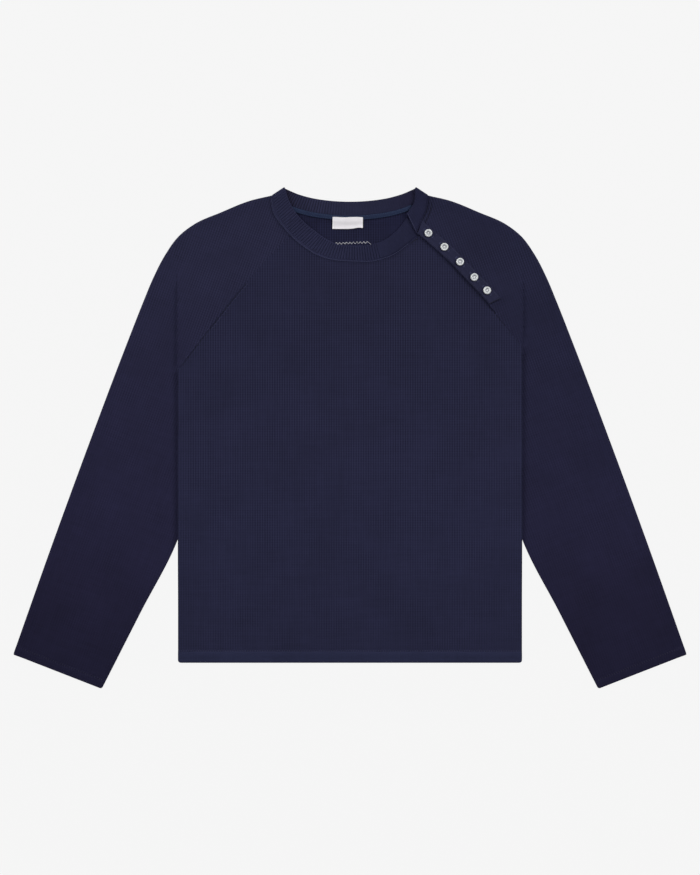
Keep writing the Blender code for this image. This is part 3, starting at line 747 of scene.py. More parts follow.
def clothFinish(name, tones, grain=(0, 1), axis="Y", ribs=((0, 1.0),), wale=None,
                shade=clothLook["shade"]):
    # tones: places in mm along the grain, or across it, each with the colour there
    # ribs: such places, each with how strongly the hollows are darkened as painted shade; wale: set for
    # cloth that is no waffle
    look, finish = clothLook, Finish(name)
    turn = (0.0, 0.0, math.atan2(grain[0], grain[1]))
    place = finish.add("Mapping", {"Vector": finish.place, "Rotation": turn}).outputs["Vector"]
    level = finish.add("SeparateXYZ", {"Vector": place}).outputs[axis]
    fibre = finish.noise(look["fibre"], 2.0)
    share = finish.math("ADD", finish.spread(finish.noise(look["blotch"], 3.0), *look["blotchShare"]),
                        finish.spread(fibre, *look["fibreShare"]))
    for drawn in ((look["drawn"], 1.0, 1.0), (1.0, look["drawn"], 1.0)):  # uneven rows, uneven wales
        along = finish.add("Mapping", {"Vector": place, "Scale": drawn}).outputs["Vector"]
        streak = finish.spread(finish.noise(look["streak"], 2.0, along), *look["streakShare"])
        share = finish.math("ADD", share, streak)
    stitch = finish.math("MULTIPLY", finish.wave(wale or look["wale"], "X", place, look["wobble"][0]),
                         finish.wave(look["course"], "Y", place, look["wobble"][1]))
    height = finish.math("ADD", stitch, finish.math("MULTIPLY", fibre, look["fibreHeight"]))
    # painted shade: the colour darkens in the waffle's hollows, over the real relief
    if not wale:
        patches = finish.spread(finish.noise(look["patch"], 2.0), *look["patchShare"])
        depth = finish.math("MULTIPLY", patches, finish.ramp(level, ribs))
        for way, weight in (("X", look["hollow"]), ("Y", look["hollow"] * look["bars"])):
            hollow = finish.spread(finish.wave(knit["pitch"], way, place), -weight, weight, 0.0, 1.0)
            share = finish.math("SUBTRACT", share, finish.math("MULTIPLY", hollow, depth))
    colours = []
    for _, tone in tones:
        dark, light = ([part * c for c in tone] for part in shade)
        colours.append(finish.mix(share, linear(dark), linear(light)))
    colour = colours[0]
    for (before, _), (after, _), later in zip(tones, tones[1:], colours[1:]):
        colour = finish.mix(finish.spread(level, 0.0, 1.0, before * mm, after * mm), colour, later)
    finish.set(Base_Color=colour, Roughness=finish.spread(fibre, *look["rough"]),
               Specular_IOR_Level=look["specular"], Sheen_Weight=look["sheen"],
               Sheen_Roughness=look["sheenRough"], Sheen_Tint=look["sheenTint"],
               Normal=finish.bump(height, look["stitchBump"]))
    return finish.material


threadLook = {
    "twist": 0.35, "wobble": 1.5, "fibre": 0.25, "rough": (0.5, 0.7), "specular": 0.2, "bump": 0.06,
}


def threadFinish(name, dark, light):
    look, finish = threadLook, Finish(name)
    twist = finish.wave(look["twist"], "DIAGONAL", wobble=look["wobble"])
    fibre = finish.noise(look["fibre"], 2.0)
    finish.set(Base_Color=finish.mix(twist, linear(dark), linear(light)),
               Roughness=finish.spread(fibre, *look["rough"]), Specular_IOR_Level=look["specular"],
               Normal=finish.bump(finish.math("ADD", twist, fibre), look["bump"]))
    return finish.material


tapeLook = {
    "slant": 45.0, "twill": 0.9, "yarn": 0.45, "wobble": (0.3, 0.5), "blotch": 9.0, "dark": (26, 32, 55),
    "light": (38, 49, 76), "rough": (0.7, 0.85), "specular": 0.1, "bump": 0.1,
}


def tapeFinish():
    look, finish = tapeLook, Finish("tape twill")
    slant = (0, 0, math.radians(look["slant"]))
    place = finish.add("Mapping", {"Vector": finish.place, "Rotation": slant}).outputs["Vector"]
    twill = finish.wave(look["twill"], "X", place, look["wobble"][0])
    yarn = finish.wave(look["yarn"], "Y", place, look["wobble"][1])
    blotch = finish.noise(look["blotch"], 3.0)
    share = finish.math("ADD", finish.math("MULTIPLY", twill, 0.5), finish.math("MULTIPLY", blotch, 0.5))
    finish.set(Base_Color=finish.mix(share, linear(look["dark"]), linear(look["light"])),
               Roughness=finish.spread(yarn, *look["rough"]), Specular_IOR_Level=look["specular"],
               Normal=finish.bump(finish.math("ADD", twill, yarn), look["bump"]))
    return finish.material


labelLook = {
    "warp": 0.32, "weft": 0.42, "wobble": 0.3, "blotch": 6.0, "dark": (213, 210, 214),
    "light": (230, 227, 231), "rough": (0.45, 0.62), "sheen": 0.1, "bump": 0.05,
}


def labelFinish():
    look, finish = labelLook, Finish("woven label")
    warp = finish.wave(look["warp"], "X", wobble=look["wobble"])
    weft = finish.wave(look["weft"], "Y", wobble=look["wobble"])
    blotch = finish.noise(look["blotch"], 3.0)
    weave = finish.math("MULTIPLY", warp, weft)
    share = finish.math("ADD", finish.math("MULTIPLY", weave, 0.5), finish.math("MULTIPLY", blotch, 0.5))
    finish.set(Base_Color=finish.mix(share, linear(look["dark"]), linear(look["light"])),
               Roughness=finish.spread(blotch, *look["rough"]), Sheen_Weight=look["sheen"],
               Normal=finish.bump(weave, look["bump"]))
    return finish.material


pearlLook = {
    "swirl": 5.0, "fine": 0.6, "rough": (0.2, 0.32), "coat": 0.4, "coatRough": 0.12, "refraction": 1.53,
    "bump": 0.04,
}


def pearlFinish(name, dark, light):
    look, finish = pearlLook, Finish(name)
    swirl = finish.noise(look["swirl"], 4.0, roughness=0.6)
    fine = finish.noise(look["fine"], 2.0)
    finish.set(Base_Color=finish.mix(finish.spread(swirl, 0.0, 1.0), linear(dark), linear(light)),
               Roughness=finish.spread(fine, *look["rough"]), Coat_Weight=look["coat"],
               Coat_Roughness=look["coatRough"], IOR=look["refraction"],
               Normal=finish.bump(swirl, look["bump"]))
    return finish.material


bodyTones = (
    (-301, (39.2, 41.8, 65.4)), (-297, (36.6, 37.7, 60.1)), (-115, (37.1, 38.2, 61.1)),
    (0, (36.4, 37.3, 59.6)), (109, (35.4, 36.4, 58.0)), (214, (34.7, 35.6, 56.8)),
)
# how strongly the hollows are darkened as painted shade, along the body and the sleeves
bodyHollowShade = ((-301, 0.2), (-297, 0.6), (-150, 0.8), (0, 1.0), (200, 1.4))
sleeveHollowShade = ((-361, 0.4), (-102, 0.6), (130, 1.0))
# the back's inside round the neck is darker than its outside, most next to the neckband: painted shade
innerShadeTones = ((278, (29.0, 29.8, 50.2)), (305, (26.7, 27.5, 48.2)))
# the sleeves' colours darken towards the cuffs: painted shade
sleeveTones = {
    "right": ((-449, (29.3, 28.1, 48.6)), (-364, (30.9, 29.4, 50.6)), (-307, (32.7, 31.2, 53.3)),
              (-250, (34.3, 33.1, 56.1)), (-36, (35.2, 34.8, 57.1)), (176, (36.6, 37.1, 58.6))),
    "left": ((-449, (29.3, 28.1, 48.6)), (-364, (30.5, 29.0, 50.0)), (-307, (32.0, 30.6, 52.3)),
             (-250, (34.0, 33.0, 55.8)), (-36, (33.4, 33.4, 55.2)), (123, (33.0, 33.7, 54.4))),
}
# the front band darkens towards its end under the placket, and the back band next to both shoulder folds:
# painted shade
bandTones = ((-30, (40.0, 41.2, 64.6)), (10, (38.8, 40.1, 63.0)), (45, (34.7, 36.1, 58.4)),
             (80, (31.3, 32.2, 52.8)), (95, (31.5, 32.3, 53.8)))
backBandTones = ((-86, (34.5, 33.2, 52.2)), (-74, (37.8, 38.8, 60.9)), (-46, (42.0, 43.0, 66.4)),
                 (-16, (37.2, 38.8, 59.6)), (10, (36.9, 38.7, 59.5)), (50, (34.0, 35.2, 56.1)),
                 (86, (32.8, 32.0, 52.4)))
backHollowShadeTones = ((-86, (24.2, 23.2, 36.5)), (-46, (29.4, 30.1, 46.5)), (-16, (31.6, 33.0, 50.7)),
                   (10, (36.2, 37.9, 58.3)), (86, (32.1, 31.4, 51.4)))
bodyCloth = clothFinish("body waffle", bodyTones, ribs=bodyHollowShade)
innerShadeCloth = clothFinish("body waffle inside, painted shade", innerShadeTones, shade=(0.72, 1.28))
sleeveCloth = {name: clothFinish(f"sleeve waffle {name}", sleeveTones[name], side["grain"], ribs=sleeveHollowShade)
               for name, side in sides.items()}
stripTones = ((0, (37.4, 38.3, 59.0)),)
stripCloth = clothFinish("placket facing", stripTones, sides["left"]["grain"], wale=clothLook["wale"])
ribWale = 0.825
ribCloth = clothFinish("neck rib", bandTones, axis="X", wale=ribWale)
# the rib hollows and the faces beside the shoulder folds are dark: painted shade
ribHollowShade = clothFinish("neck rib hollow shade", ((0, (20.5, 21.5, 37.0)),), wale=ribWale)
backRib = clothFinish("back rib", backBandTones, axis="X", wale=ribWale)
backHollowShade = clothFinish("back rib hollow shade", backHollowShadeTones, axis="X", wale=ribWale)
navyThread = threadFinish("navy thread", (36, 37, 60), (50, 52, 79))
cuffThread = threadFinish("cuff thread", (29, 28, 48), (37, 36, 59))
ridgeThread = threadFinish("ridge thread", (40, 43, 68), (60, 63, 94))
# near-black thread laid in gaps and grooves: painted shade
shadeThread = threadFinish("dark thread, painted shade", (14, 14, 26), (24, 24, 40))
blueThread = threadFinish("tape thread", (30, 42, 68), (50, 68, 98))
whiteThread = threadFinish("white thread", (178, 178, 186), (228, 228, 232))
buttonThreads = threadFinish("button thread", (216, 217, 220), (246, 246, 248))
print("finishes ready")


body = {
    "ridge": 0.5, "ridgeAt": 3.8, "ridgeWidth": 1.4, "groove": 0.6, "grooveAt": 1.4, "grooveWidth": 1.0,
    "grooveFade": (205.0, 226.0), "faded": 0.85, "neckRise": 0.7, "neckWidth": 2.0, "neckRoll": (2.0, 4.0),
    "seamRoll": (1.0, 4.0), "leastRoll": 0.3, "placketRoll": 0.75,
    "placketLean": 0.8, "leanWidth": 2.5, "leanRun": 12.0,
    "hemStitch": 16.4, "hemStitchWidth": 1.6, "hemPress": 5.7, "hemPressWidth": 1.2, "hemGroove": 0.3,
    "hemRoll": 0.5, "hemRollWidth": 2.4, "hemCrown": 0.25, "hemRibs": 0.3, "hemRibsRun": 3.0,
    "hemStitchEnds": (-238.0, 238.0), "coarse": 13.0, "sideClear": 40.0,
    "frontCreases": (
        (((-150, -40), (-60, 10), (20, 20)), 26.0, 0.5),
        (((160, -190), (80, -150), (10, -160)), 24.0, 0.45),
        (((-190, 60), (-120, 120), (-70, 190)), 20.0, 0.4),
        (((190, 80), (120, 140), (80, 210)), 22.0, 0.4),
        (((-120, -250), (-40, -230), (60, -245)), 20.0, 0.35),
    ),
    "backCreases": (
        (((-160, -60), (-40, -20), (90, -50)), 22.0, 0.22),
        (((150, -200), (60, -170), (-40, -190)), 18.0, 0.2),
        (((-180, 90), (-110, 150), (-60, 220)), 18.0, 0.2),
    ),
    "innerDepth": 0.9, "innerEdge": 0.2, "coarseInside": 16.0,
    "patch": ((-100, 282), (-62, 260), (0, 250), (62, 256), (100, 284), (90, 322), (62, 312),
              (34, 307.4), (0, 305.6), (-34, 307.4), (-62, 312), (-90, 322)),
}
frontSeams = [raglanLine(side, "frontRaglan") for side in sides.values()]


def hemWall(y):
    return turnedWall(top["hemDepth"], y - top["hemY"])


def frontRise(x, y):  # low relief of the front that lifts its whole wall
    clear = ease(0, body["sideClear"], top["halfWidth"] - np.abs(x))
    return creaseHeight(x, y, body["frontCreases"]) * clear


def frontTop(x, y):
    wall = hemWall(y)
    return frontZ(x, y, wall) + wall / 2 + frontRise(x, y)


def frontUnder(x, y):
    wall = hemWall(y)
    return frontZ(x, y, wall) - wall / 2 + frontRise(x, y)


def backTop(x, y):
    wall = hemWall(y)
    return backZ(x, y, wall) + wall / 2


def backUnder(x, y):
    wall = hemWall(y)
    return backZ(x, y, wall) - wall / 2


def hemDetail(y):  # the groove that the hem's stitching pulls, a pressed line, and the fold's roundness
    up = y - top["hemY"]
    crown = body["hemCrown"] * np.sin(np.clip(up / top["hemDepth"], 0, 1) * math.pi)
    stitched = bell(up - body["hemStitch"], body["hemStitchWidth"])
    pressed = bell(up - body["hemPress"], body["hemPressWidth"])
    roll = body["hemRoll"] * (1 - ease(0, body["hemRollWidth"], up))
    return crown - body["hemGroove"] * (stitched + pressed) - roll


def hemRibs(y):  # how much of the ribs shows: the doubled hem is pressed flatter
    above = ease(top["hemDepth"] - body["hemRibsRun"], top["hemDepth"], y - top["hemY"])
    return body["hemRibs"] + (1 - body["hemRibs"]) * above


def latticeSink(lattice, rolled=1.0, ribs=1.0):  # how far each point lies below the tops of the ribs
    relief = np.where(lattice.ring == 0, 1.0, lattice.relief)
    drop = np.select([lattice.ring == 0, lattice.ring == 1], knit["edgeDrop"], 0.0)
    return knit["depth"] * (1 - relief) * ribs + drop * rolled


def raglanRelief(x, y, side, ridgeAt, grooveAt=None):
    # The pressed seam: a low ridge, and a groove in the front
    away = distanceTo(x, y, raglanLine(side, "frontRaglan"))
    clear = side["pressed"] * (1 - body["faded"] * ease(*body["grooveFade"], y))
    groove = bell(away - grooveAt, body["grooveWidth"]) if grooveAt else 0.0
    return clear * (body["ridge"] * bell(away - ridgeAt, body["ridgeWidth"]) - body["groove"] * groove)


def sewnRoll(away, least=body["leastRoll"]):  # an edge sewn to its neighbour rolls off less than a free one
    return least + (1 - least) * ease(*body["seamRoll"], away)


def makeFront():
    lattice = Lattice(*bodyOutline(True), (0, 1))
    x, y = lattice.spots.T
    fromNeck = distanceTo(x, y, neckSeam["front"][::6])
    relief = sum(raglanRelief(x, y, side, body["ridgeAt"], body["grooveAt"]) for side in sides.values())
    relief += body["neckRise"] * bell(fromNeck, body["neckWidth"])
    fromRight, fromLeft = (distanceTo(x, y, seam) for seam in frontSeams)
    beside = ease(placketFoot[1], placketFoot[1] + body["leanRun"], y)
    relief += body["placketLean"] * bell(fromLeft, body["leanWidth"]) * beside
    sewn = sewnRoll(np.minimum(fromRight, top["halfWidth"] - np.abs(x)))
    rolled = ease(*body["neckRoll"], fromNeck) * np.minimum(sewn, sewnRoll(fromLeft, body["placketRoll"]))
    z = frontTop(x, y) - latticeSink(lattice, rolled, hemRibs(y)) + hemDetail(y) + relief
    shell = Shell()
    upper = shell.add(np.column_stack((x, y, z)))
    shell.cover(upper[lattice.faces])
    edge = lattice.spots[lattice.loop]
    lower = shell.add(np.column_stack((edge, frontUnder(*edge.T))))
    shell.strip(upper[lattice.loop], lower, closed=True)
    coverFace(shell, lower, frontUnder, body["coarse"], flip=True)
    front = shell.make("front_panel", [bodyCloth], "body_cloth")
    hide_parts("front")
    return front


def makeBack():
    lattice = Lattice(*bodyOutline(False), (0, 1))
    x, y = lattice.spots.T
    dent = creaseHeight(x, y, body["backCreases"])
    z = backUnder(x, y) + latticeSink(lattice) + dent
    shell = Shell()
    lower = shell.add(np.column_stack((x, y, z)))
    shell.cover(lower[lattice.faces], flip=True)
    edge = lattice.spots[lattice.loop]
    upper = shell.add(np.column_stack((edge, backTop(*edge.T) - body["innerEdge"])))
    shell.strip(upper, lower[lattice.loop], closed=True)
    inner = Lattice(body["patch"], body["patch"], (0, 1))
    x, y = inner.spots.T
    sink = body["innerDepth"] * (1 - np.where(inner.ring == 0, 1.0, inner.relief))
    index = shell.add(np.column_stack((x, y, backTop(x, y) - sink)))
    # the inside round the neck takes the darker finish: painted shade
    shell.cover(index[inner.faces], 1)
    coverFace(shell, upper, backTop, body["coarseInside"], 1, patch=(inner, index))
    back = shell.make("back_panel", [bodyCloth, innerShadeCloth], "body_cloth")
    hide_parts("back")
    return back


front, back = makeFront(), makeBack()
print("front and back ready", len(front.data.polygons), len(back.data.polygons))


sleeve = {
    "cuffStitch": 11.5, "cuffGroove": 0.22, "cuffWidth": 1.5, "cuffFold": 0.72, "coarse": 13.0,
    "foldSteps": 6, "innerFoldSteps": 3, "innerFoldOut": 0.8, "rimRoll": (2.0, 6.0),
    "creaseClear": (4, 30), "neckRise": 1.4, "neckWidth": 2.2, "ridgeAt": 1.8,
    "cuffStitchLift": 0.9, "cuffStitchIn": 0.02,
    "neckGroove": (5.6, 1.3, 1.3), "neckRidge": (3.0, 1.3, 0.7),  # place, width, depth or height
    "rightCreases": (
        (((-300, 150), (-330, 40), (-372, -80)), 18.0, 0.5),
        (((-260, 120), (-255, 20), (-300, -120)), 14.0, 0.4),
        (((-210, 240), (-170, 270), (-130, 300)), 16.0, 0.35),
    ),
    "leftCreases": (
        (((290, 160), (322, 60), (352, -40)), 18.0, 0.5),
        (((300, -60), (330, -150), (372, -240)), 16.0, 0.45),
        (((262, 140), (262, 60), (280, -30)), 14.0, 0.4),
    ),
}


def sleeveSink(side, lattice, front, rim, cuffLine):  # how far each point lies below the tops of the ribs
    x, y = lattice.spots.T
    rolled = ease(*sleeve["rimRoll"], distanceTo(x, y, rim))
    if front:
        rolled = rolled * sewnRoll(distanceTo(x, y, raglanLine(side, "frontRaglan")))
    fromStitch = distanceTo(x, y, cuffLine) - sleeve["cuffStitch"]
    sink = latticeSink(lattice, rolled) + sleeve["cuffGroove"] * bell(fromStitch, sleeve["cuffWidth"])
    if not front:
        return sink
    sink -= raglanRelief(x, y, side, sleeve["ridgeAt"])
    if side["sign"] < 0:
        fromNeck = distanceTo(x, y, neckSeam["front"][::6])
        return sink - sleeve["neckRise"] * bell(fromNeck, sleeve["neckWidth"])
    fromNeck = distanceTo(x, y, neckSeam["placket end"][::4])
    for line, share in (("neckGroove", 1), ("neckRidge", -1)):
        away, width, depth = sleeve[line]
        sink += share * depth * bell(fromNeck - away, width)
    return sink


def foldRows(shell, frontRow, backRow, out, reach, steps):  # rows of points round the folded edge
    points = np.concatenate(shell.points)
    frontRun, backRun = points[frontRow], points[backRow]
    mine, share = lineLength(frontRun[:, :2]), lineLength(backRun[:, :2])
    high, low = frontRun[:, 2], np.interp(mine / mine[-1], share / share[-1], backRun[:, 2])
    rows = [frontRow]
    for k in range(1, steps):
        turn = math.pi * (0.5 - k / steps)
        xy = frontRun[:, :2] + out * reach * math.cos(turn)
        z = (high + low) / 2 + (high - low) / 2 * math.sin(turn)
        rows.append(shell.add(np.column_stack((xy, z))))
    return [*rows, backRow]


def makeSleeve(name, side):
    sign = side["sign"]
    own = sleeve["leftCreases" if sign > 0 else "rightCreases"]
    cuffLine = np.array((rimLine[0], sleeveInner[0])) * (sign, 1)
    rim = rimLine * (sign, 1)
    layers = {front: Lattice(*sleeveOutline(side, front), side["grain"]) for front in (True, False)}
    for edge in (top["halfWidth"], top["halfWidth"] + top["creaseWidth"]):  # points along the side crease
        spots, inside = layers[True].spots, layers[True].ring > 1
        near = inside & (np.abs(np.abs(spots[:, 0]) - edge) < top["creaseWidth"] / 2)
        spots[near, 0] = sign * edge
    start, end = (3, 2) if sign > 0 else (2, 3)  # the two ends of the folded edge
    raglan = raglanLine(side, "frontRaglan")

    def wallAt(x, y):
        return turnedWall(top["cuffDepth"], distanceTo(x, y, cuffLine))

    def middleAt(x, y, front, wall):
        if not front:
            return sleeveBackZ(x, y, wall)
        spread = top["foldSpread"] * (1 - ease(0, top["foldReach"], distanceTo(x, y, rim)))
        rise = creaseHeight(x, y, own) * ease(*sleeve["creaseClear"], distanceTo(x, y, raglan))
        return sleeveFrontZ(x, y, wall) + spread + rise

    def face(x, y, front, upper):
        wall = wallAt(x, y)
        return middleAt(x, y, front, wall) + (wall / 2 if upper else -wall / 2)

    shell = Shell()
    outer, inner, runs = {}, {}, {}
    for front, lattice in layers.items():
        x, y = lattice.spots.T
        sink = sleeveSink(side, lattice, front, rim, cuffLine)
        z = face(x, y, front, front) + (-sink if front else sink)
        index = shell.add(np.column_stack((x, y, z)))
        shell.cover(index[lattice.faces], flip=not front)
        edge = lattice.spots[lattice.loop]
        within = shell.add(np.column_stack((edge, face(*edge.T, front, not front))))
        coverFace(shell, within, lambda x, y: face(x, y, front, not front), sleeve["coarse"], flip=front)
        outer[front], inner[front] = index[lattice.loop], within
        runs[front], rest = lattice.run(start, end), lattice.run(end, start)
        upper, lower = (outer, inner) if front else (inner, outer)
        shell.strip(upper[front][rest], lower[front][rest])
    _, _, along = nearestOnLine(np.concatenate(shell.points)[outer[True][runs[True]]][:, :2], rim)
    out = np.column_stack([np.interp(along, lineLength(rim), rimWays[:, c]) for c in (0, 1)]) * (sign, 1)
    opened = np.sqrt(np.clip(along / top["cuffCorner"], 0, 1))[:, None]
    out = out * (sleeve["cuffFold"] + (1 - sleeve["cuffFold"]) * opened)
    folds = []
    for sets, reach, steps in ((outer, foldOut, sleeve["foldSteps"]),
                               (inner, sleeve["innerFoldOut"], sleeve["innerFoldSteps"])):
        frontRow, backRow = (sets[front][runs[front]] for front in (True, False))
        rows = foldRows(shell, frontRow, backRow, out, reach, steps)
        for a, b in zip(rows, rows[1:]):
            shell.strip(a, b, flip=sets is inner)
        folds.append(rows)
    for at, flip in ((0, False), (-1, True)):  # closes the two ends of the fold
        shell.strip(*[[row[at] for row in rows] for rows in folds], flip=flip)
    made = shell.make(f"sleeve_{name}_cloth", [sleeveCloth[name]], "sleeve_cloth")
    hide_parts(f"sleeve_{name}")
    return made


sleeves = {name: makeSleeve(name, side) for name, side in sides.items()}
print("sleeves ready", [len(s.data.polygons) for s in sleeves.values()])


bandProfile = (  # share of the width from the free edge, half the thickness, how much of the ribs shows
    (0.0, 0.12, 0.0), (0.012, 0.5, 0.1), (0.04, 0.8, 0.5), (0.08, 0.97, 1.0), (0.3, 1.0, 1.0),
    (0.55, 1.0, 1.0), (0.82, 1.0, 1.0), (0.89, 0.88, 0.8), (0.922, 0.1, 0.1), (0.942, 0.35, 0.0),
    (0.96, 0.85, 0.0), (0.978, 0.97, 0.0), (0.99, 0.9, 0.0), (1.0, 0.75, 0.0),
)


def bandSections():  # all round, evenly spaced
    rows = np.vstack((stretches["placket end"][:-1], shoulderTurn(1), stretches["back"][1:-1],
                      shoulderTurn(-1)[::-1], stretches["front"][1:]))
    middle = np.column_stack(((rows[:, :2] + rows[:, 2:4]) / 2, rows[:, 4]))
    reach = lineLength(middle)
    even = np.linspace(0, reach[-1], band["ribs"] * band["perRib"] + 1)
    return np.column_stack([np.interp(even, reach, rows[:, c]) for c in range(5)])


def bandMarks(strength, onBack, folded):
    # The finish of each face: rib, or hollow in painted shade, front or back, and painted shade inside the
    # fold
    column = np.arange(len(strength) - 1) % band["perRib"]
    half = band["perRib"] // 2
    clear = (strength > band["clearRibs"]) | onBack
    marks = np.zeros((len(column), 2 * len(bandProfile)), int)
    first, last = band["ribFaces"]
    final = marks.shape[1] - 1
    for start, end, hollows in ((first, last, (half - 1, half)), (final - last, final - first, (0,))):
        marks[:, start:end] = (np.isin(column, hollows) & clear[:-1])[:, None]
    marks += 2 * onBack[:-1, None]
    # painted shade: back faces next to a shoulder fold take the darkest finish
    marks[folded[:-1], len(bandProfile):-2] = 1
    return marks.ravel().tolist()


def makeNeckband():
    rows = bandSections()
    free, seam = rows[:, (0, 1, 4)], rows[:, (2, 3, 4)]
    width = np.linalg.norm(seam - free, axis=1)[:, None]
    seam = seam + (free - seam) / width * band["setBack"]
    share = np.array([row[0] for row in bandProfile])[:, None, None]
    middle = free + (seam - free) * share
    normal = np.cross(np.gradient(middle, axis=1), np.gradient(middle, axis=0))
    normal /= np.linalg.norm(normal, axis=2)[:, :, None]
    rib = 0.5 - 0.5 * np.cos(2 * math.pi * np.arange(len(rows)) / band["perRib"])
    onBack = (rows[:, 4] < band["backBelow"]) & (rows[:, 3] > band["backFrom"])
    x = rows[:, 0]
    backRibs = band["backRibs"] - band["backLoss"] * ease(*band["backFlat"], x)
    frontRibs = band["frontRibs"] + (1 - band["frontRibs"]) * ease(*band["frontClear"], x)
    frontRibs = frontRibs * (1 - band["frontLoss"] * ease(*band["frontFlat"], x))
    strength = np.where(onBack, backRibs, frontRibs)
    fromEnd = ease(0, band["endFade"], np.arange(len(rows)))
    depth = band["ribDepth"] * strength * fromEnd * fromEnd[::-1]
    half, shown = (np.array([row[k] for row in bandProfile])[:, None] for k in (1, 2))
    shell = Shell()
    faces = []
    for sense, trough in ((1, rib), (-1, 1 - rib)):
        faces.append(middle + sense * normal * (half - shown * depth * trough)[:, :, None])
    ring = np.concatenate((faces[0], faces[1][::-1]))
    ring[:, :, 2] = np.maximum(ring[:, :, 2], 0.0)
    index = shell.grid(ring.transpose(1, 0, 2), around=True)
    reach = lineLength(rows[:, :2])
    turned = np.abs(rows[:, 4] - band["backZ"]) > band["turnedFrom"]
    folds = [reach[k] for k in np.nonzero(turned[:-1] & ~turned[1:])[0][:1]]
    folds += [reach[k] for k in np.nonzero(~turned[:-1] & turned[1:])[0][-1:]]
    fromFold = np.min([np.abs(reach - at) for at in folds], axis=0)
    shell.finish = bandMarks(strength, onBack, onBack & (fromFold < band["foldShade"]))
    shell.cover([index[0]], flip=False)
    shell.cover([index[-1]], flip=True)
    made = shell.make("neck_rib", [ribCloth, ribHollowShade, backRib, backHollowShade], "rib_knit", sharp=60)
    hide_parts("neckband")
    return made


neckRib = makeNeckband()
print("neckband ready")


def placketLine(start, count):  # the raglan seam along the placket, and the way across it
    line = curveThrough(sides["left"]["frontRaglan"], np.linspace(1, 0, 400))
    reach = lineLength(line)
    foot = reach[np.argmin(np.linalg.norm(line - np.array(placketFoot), axis=1))]
    even = np.linspace(start, foot, count)
    points = np.column_stack([np.interp(even, reach, line[:, c]) for c in (0, 1)])
    step = direction(points)
    return even, points, step, np.column_stack((-step[:, 1], step[:, 0]))


def stripZ(x, y):
    return sleeveFrontZ(x, y) + top["wall"] / 2 + top["gap"] + placket["stripWall"] / 2


def stripPlace(start, skew, count, distance):  # a line along the placket, at a distance from its seam
    _, points, step, across = placketLine(start, count)
    share = np.linspace(0, 1, len(points))
    near, width = placket["stripEdge"], placket["stripWidth"]
    slide = skew[0] * (1 - share) ** 3 + skew[1] * share**3
    return points + across * distance + step * (slide * (distance - near) / width)[:, None]


def closedSheet(shell, upper, lower):  # rows and columns of points above and below, joined round the edge
    a, b = shell.grid(upper), shell.grid(lower, flip=True)
    edges = ((a[0], b[0]), (a[:, -1], b[:, -1]), (a[-1][::-1], b[-1][::-1]), (a[::-1, 0], b[::-1, 0]))
    for one, two in edges:
        shell.strip(two, one)


sheetRound = 1.2  # how far in from its edge a thin sheet rounds off


def rounded(rows, columns, size, across):  # how far the faces of a sheet close in at its edges
    edge = np.minimum(np.arange(rows), np.arange(rows)[::-1])[:, None] * size[0]
    side = np.minimum(np.arange(columns), np.arange(columns)[::-1])[None, :] * size[1]
    return across * (1 - ease(0, sheetRound, np.minimum(edge, side)))


def makeStrip(name, node, near, far, start, skew, wall, height, finish, relief=None):
    rows, columns = placket["points"]
    places = far + (near - far) * np.linspace(0, 1, rows)
    flat = np.array([stripPlace(start, skew, columns, place) for place in places])
    z = height(flat[:, :, 0], flat[:, :, 1])
    spare = rounded(rows, columns, ((far - near) / (rows - 1), 1.0), wall * placket["rounding"])
    raised = relief(flat, places) if relief else 0.0
    shell = Shell()
    upper = np.dstack((flat, z + wall / 2 - spare + raised))
    lower = np.dstack((flat, z - wall / 2 + spare * 0.5))
    closedSheet(shell, upper, lower)
    made = shell.make(name, [finish], "sleeve_cloth")
    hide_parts(node)
    return made


def stripRelief(flat, distance):
    rows = distance[:, None]
    ridges = sum(share * bell(rows - place, width) for place, width, share in placket["relief"])
    share, size, seed = placket["uneven"]
    wavy = 1 + share * softNoise(flat[:, :, 0], flat[:, :, 1], size, seed)
    fromEdge = rows - placket["stripEdge"] - placket["stripWidth"]
    thinned = placket["edgeThin"] * bell(fromEdge, placket["edgeThinWidth"])
    return placket["ridge"] * ridges * wavy - thinned


def stripTop(x, y):
    return stripZ(x, y) + placket["stripWall"] / 2


placketTop = makeStrip("placket_strip", "placket_top", placket["stripEdge"],
                       placket["stripEdge"] + placket["stripWidth"], placket["stripStart"],
                       placket["stripSkew"], placket["stripWall"], stripZ, stripCloth, stripRelief)
placketUnder = makeStrip("placket_stand", "placket_under", top["gap"], placket["standWidth"],
                         placket["standStart"], placket["standSkew"], top["wall"], frontZ, bodyCloth)

tape = {
    "wall": 0.5, "width": 6.2, "shift": -0.7, "crown": 0.3, "z": 2.55, "halfSpan": 89.0, "stitchIn": 1.2,
    "points": (9, 160), "rounding": 0.18, "uneven": (0.12, 16, 11), "underWave": 0.4,
    "stitchDent": 0.12, "dentWidth": 0.6, "stitchLift": 0.3,
}


def tapeLine(offset):
    seam = neckSeam["back"][::-1]
    seam = seam[np.abs(seam[:, 0]) <= tape["halfSpan"]]
    seam = curveThrough(seam[::12], np.linspace(0, 1, tape["points"][1]))
    return sideways(seam, offset + tape["shift"])


def makeTape():
    (rows, columns), half, wall = tape["points"], tape["width"] / 2, tape["wall"] / 2
    offsets = np.linspace(half, -half, rows)
    flat = np.array([tapeLine(offset) for offset in offsets])
    share, size, seed = tape["uneven"]
    wavy = share * softNoise(flat[:, :, 0], flat[:, :, 1], size, seed)
    spare = rounded(rows, columns, (tape["width"] / (rows - 1), 1.0), tape["rounding"])
    dent = tape["stitchDent"] * bell(np.abs(offsets)[:, None] - half + tape["stitchIn"], tape["dentWidth"])
    dent = dent - tape["crown"] * (1 - (offsets[:, None] / half) ** 2)
    shell = Shell()
    closedSheet(shell, np.dstack((flat, tape["z"] + wall - spare + wavy - dent)),
                np.dstack((flat, tape["z"] - wall + wavy * tape["underWave"])))
    made = shell.make("tape_strip", [tapeFinish()], "tape")
    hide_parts("neck_tape")
    return made


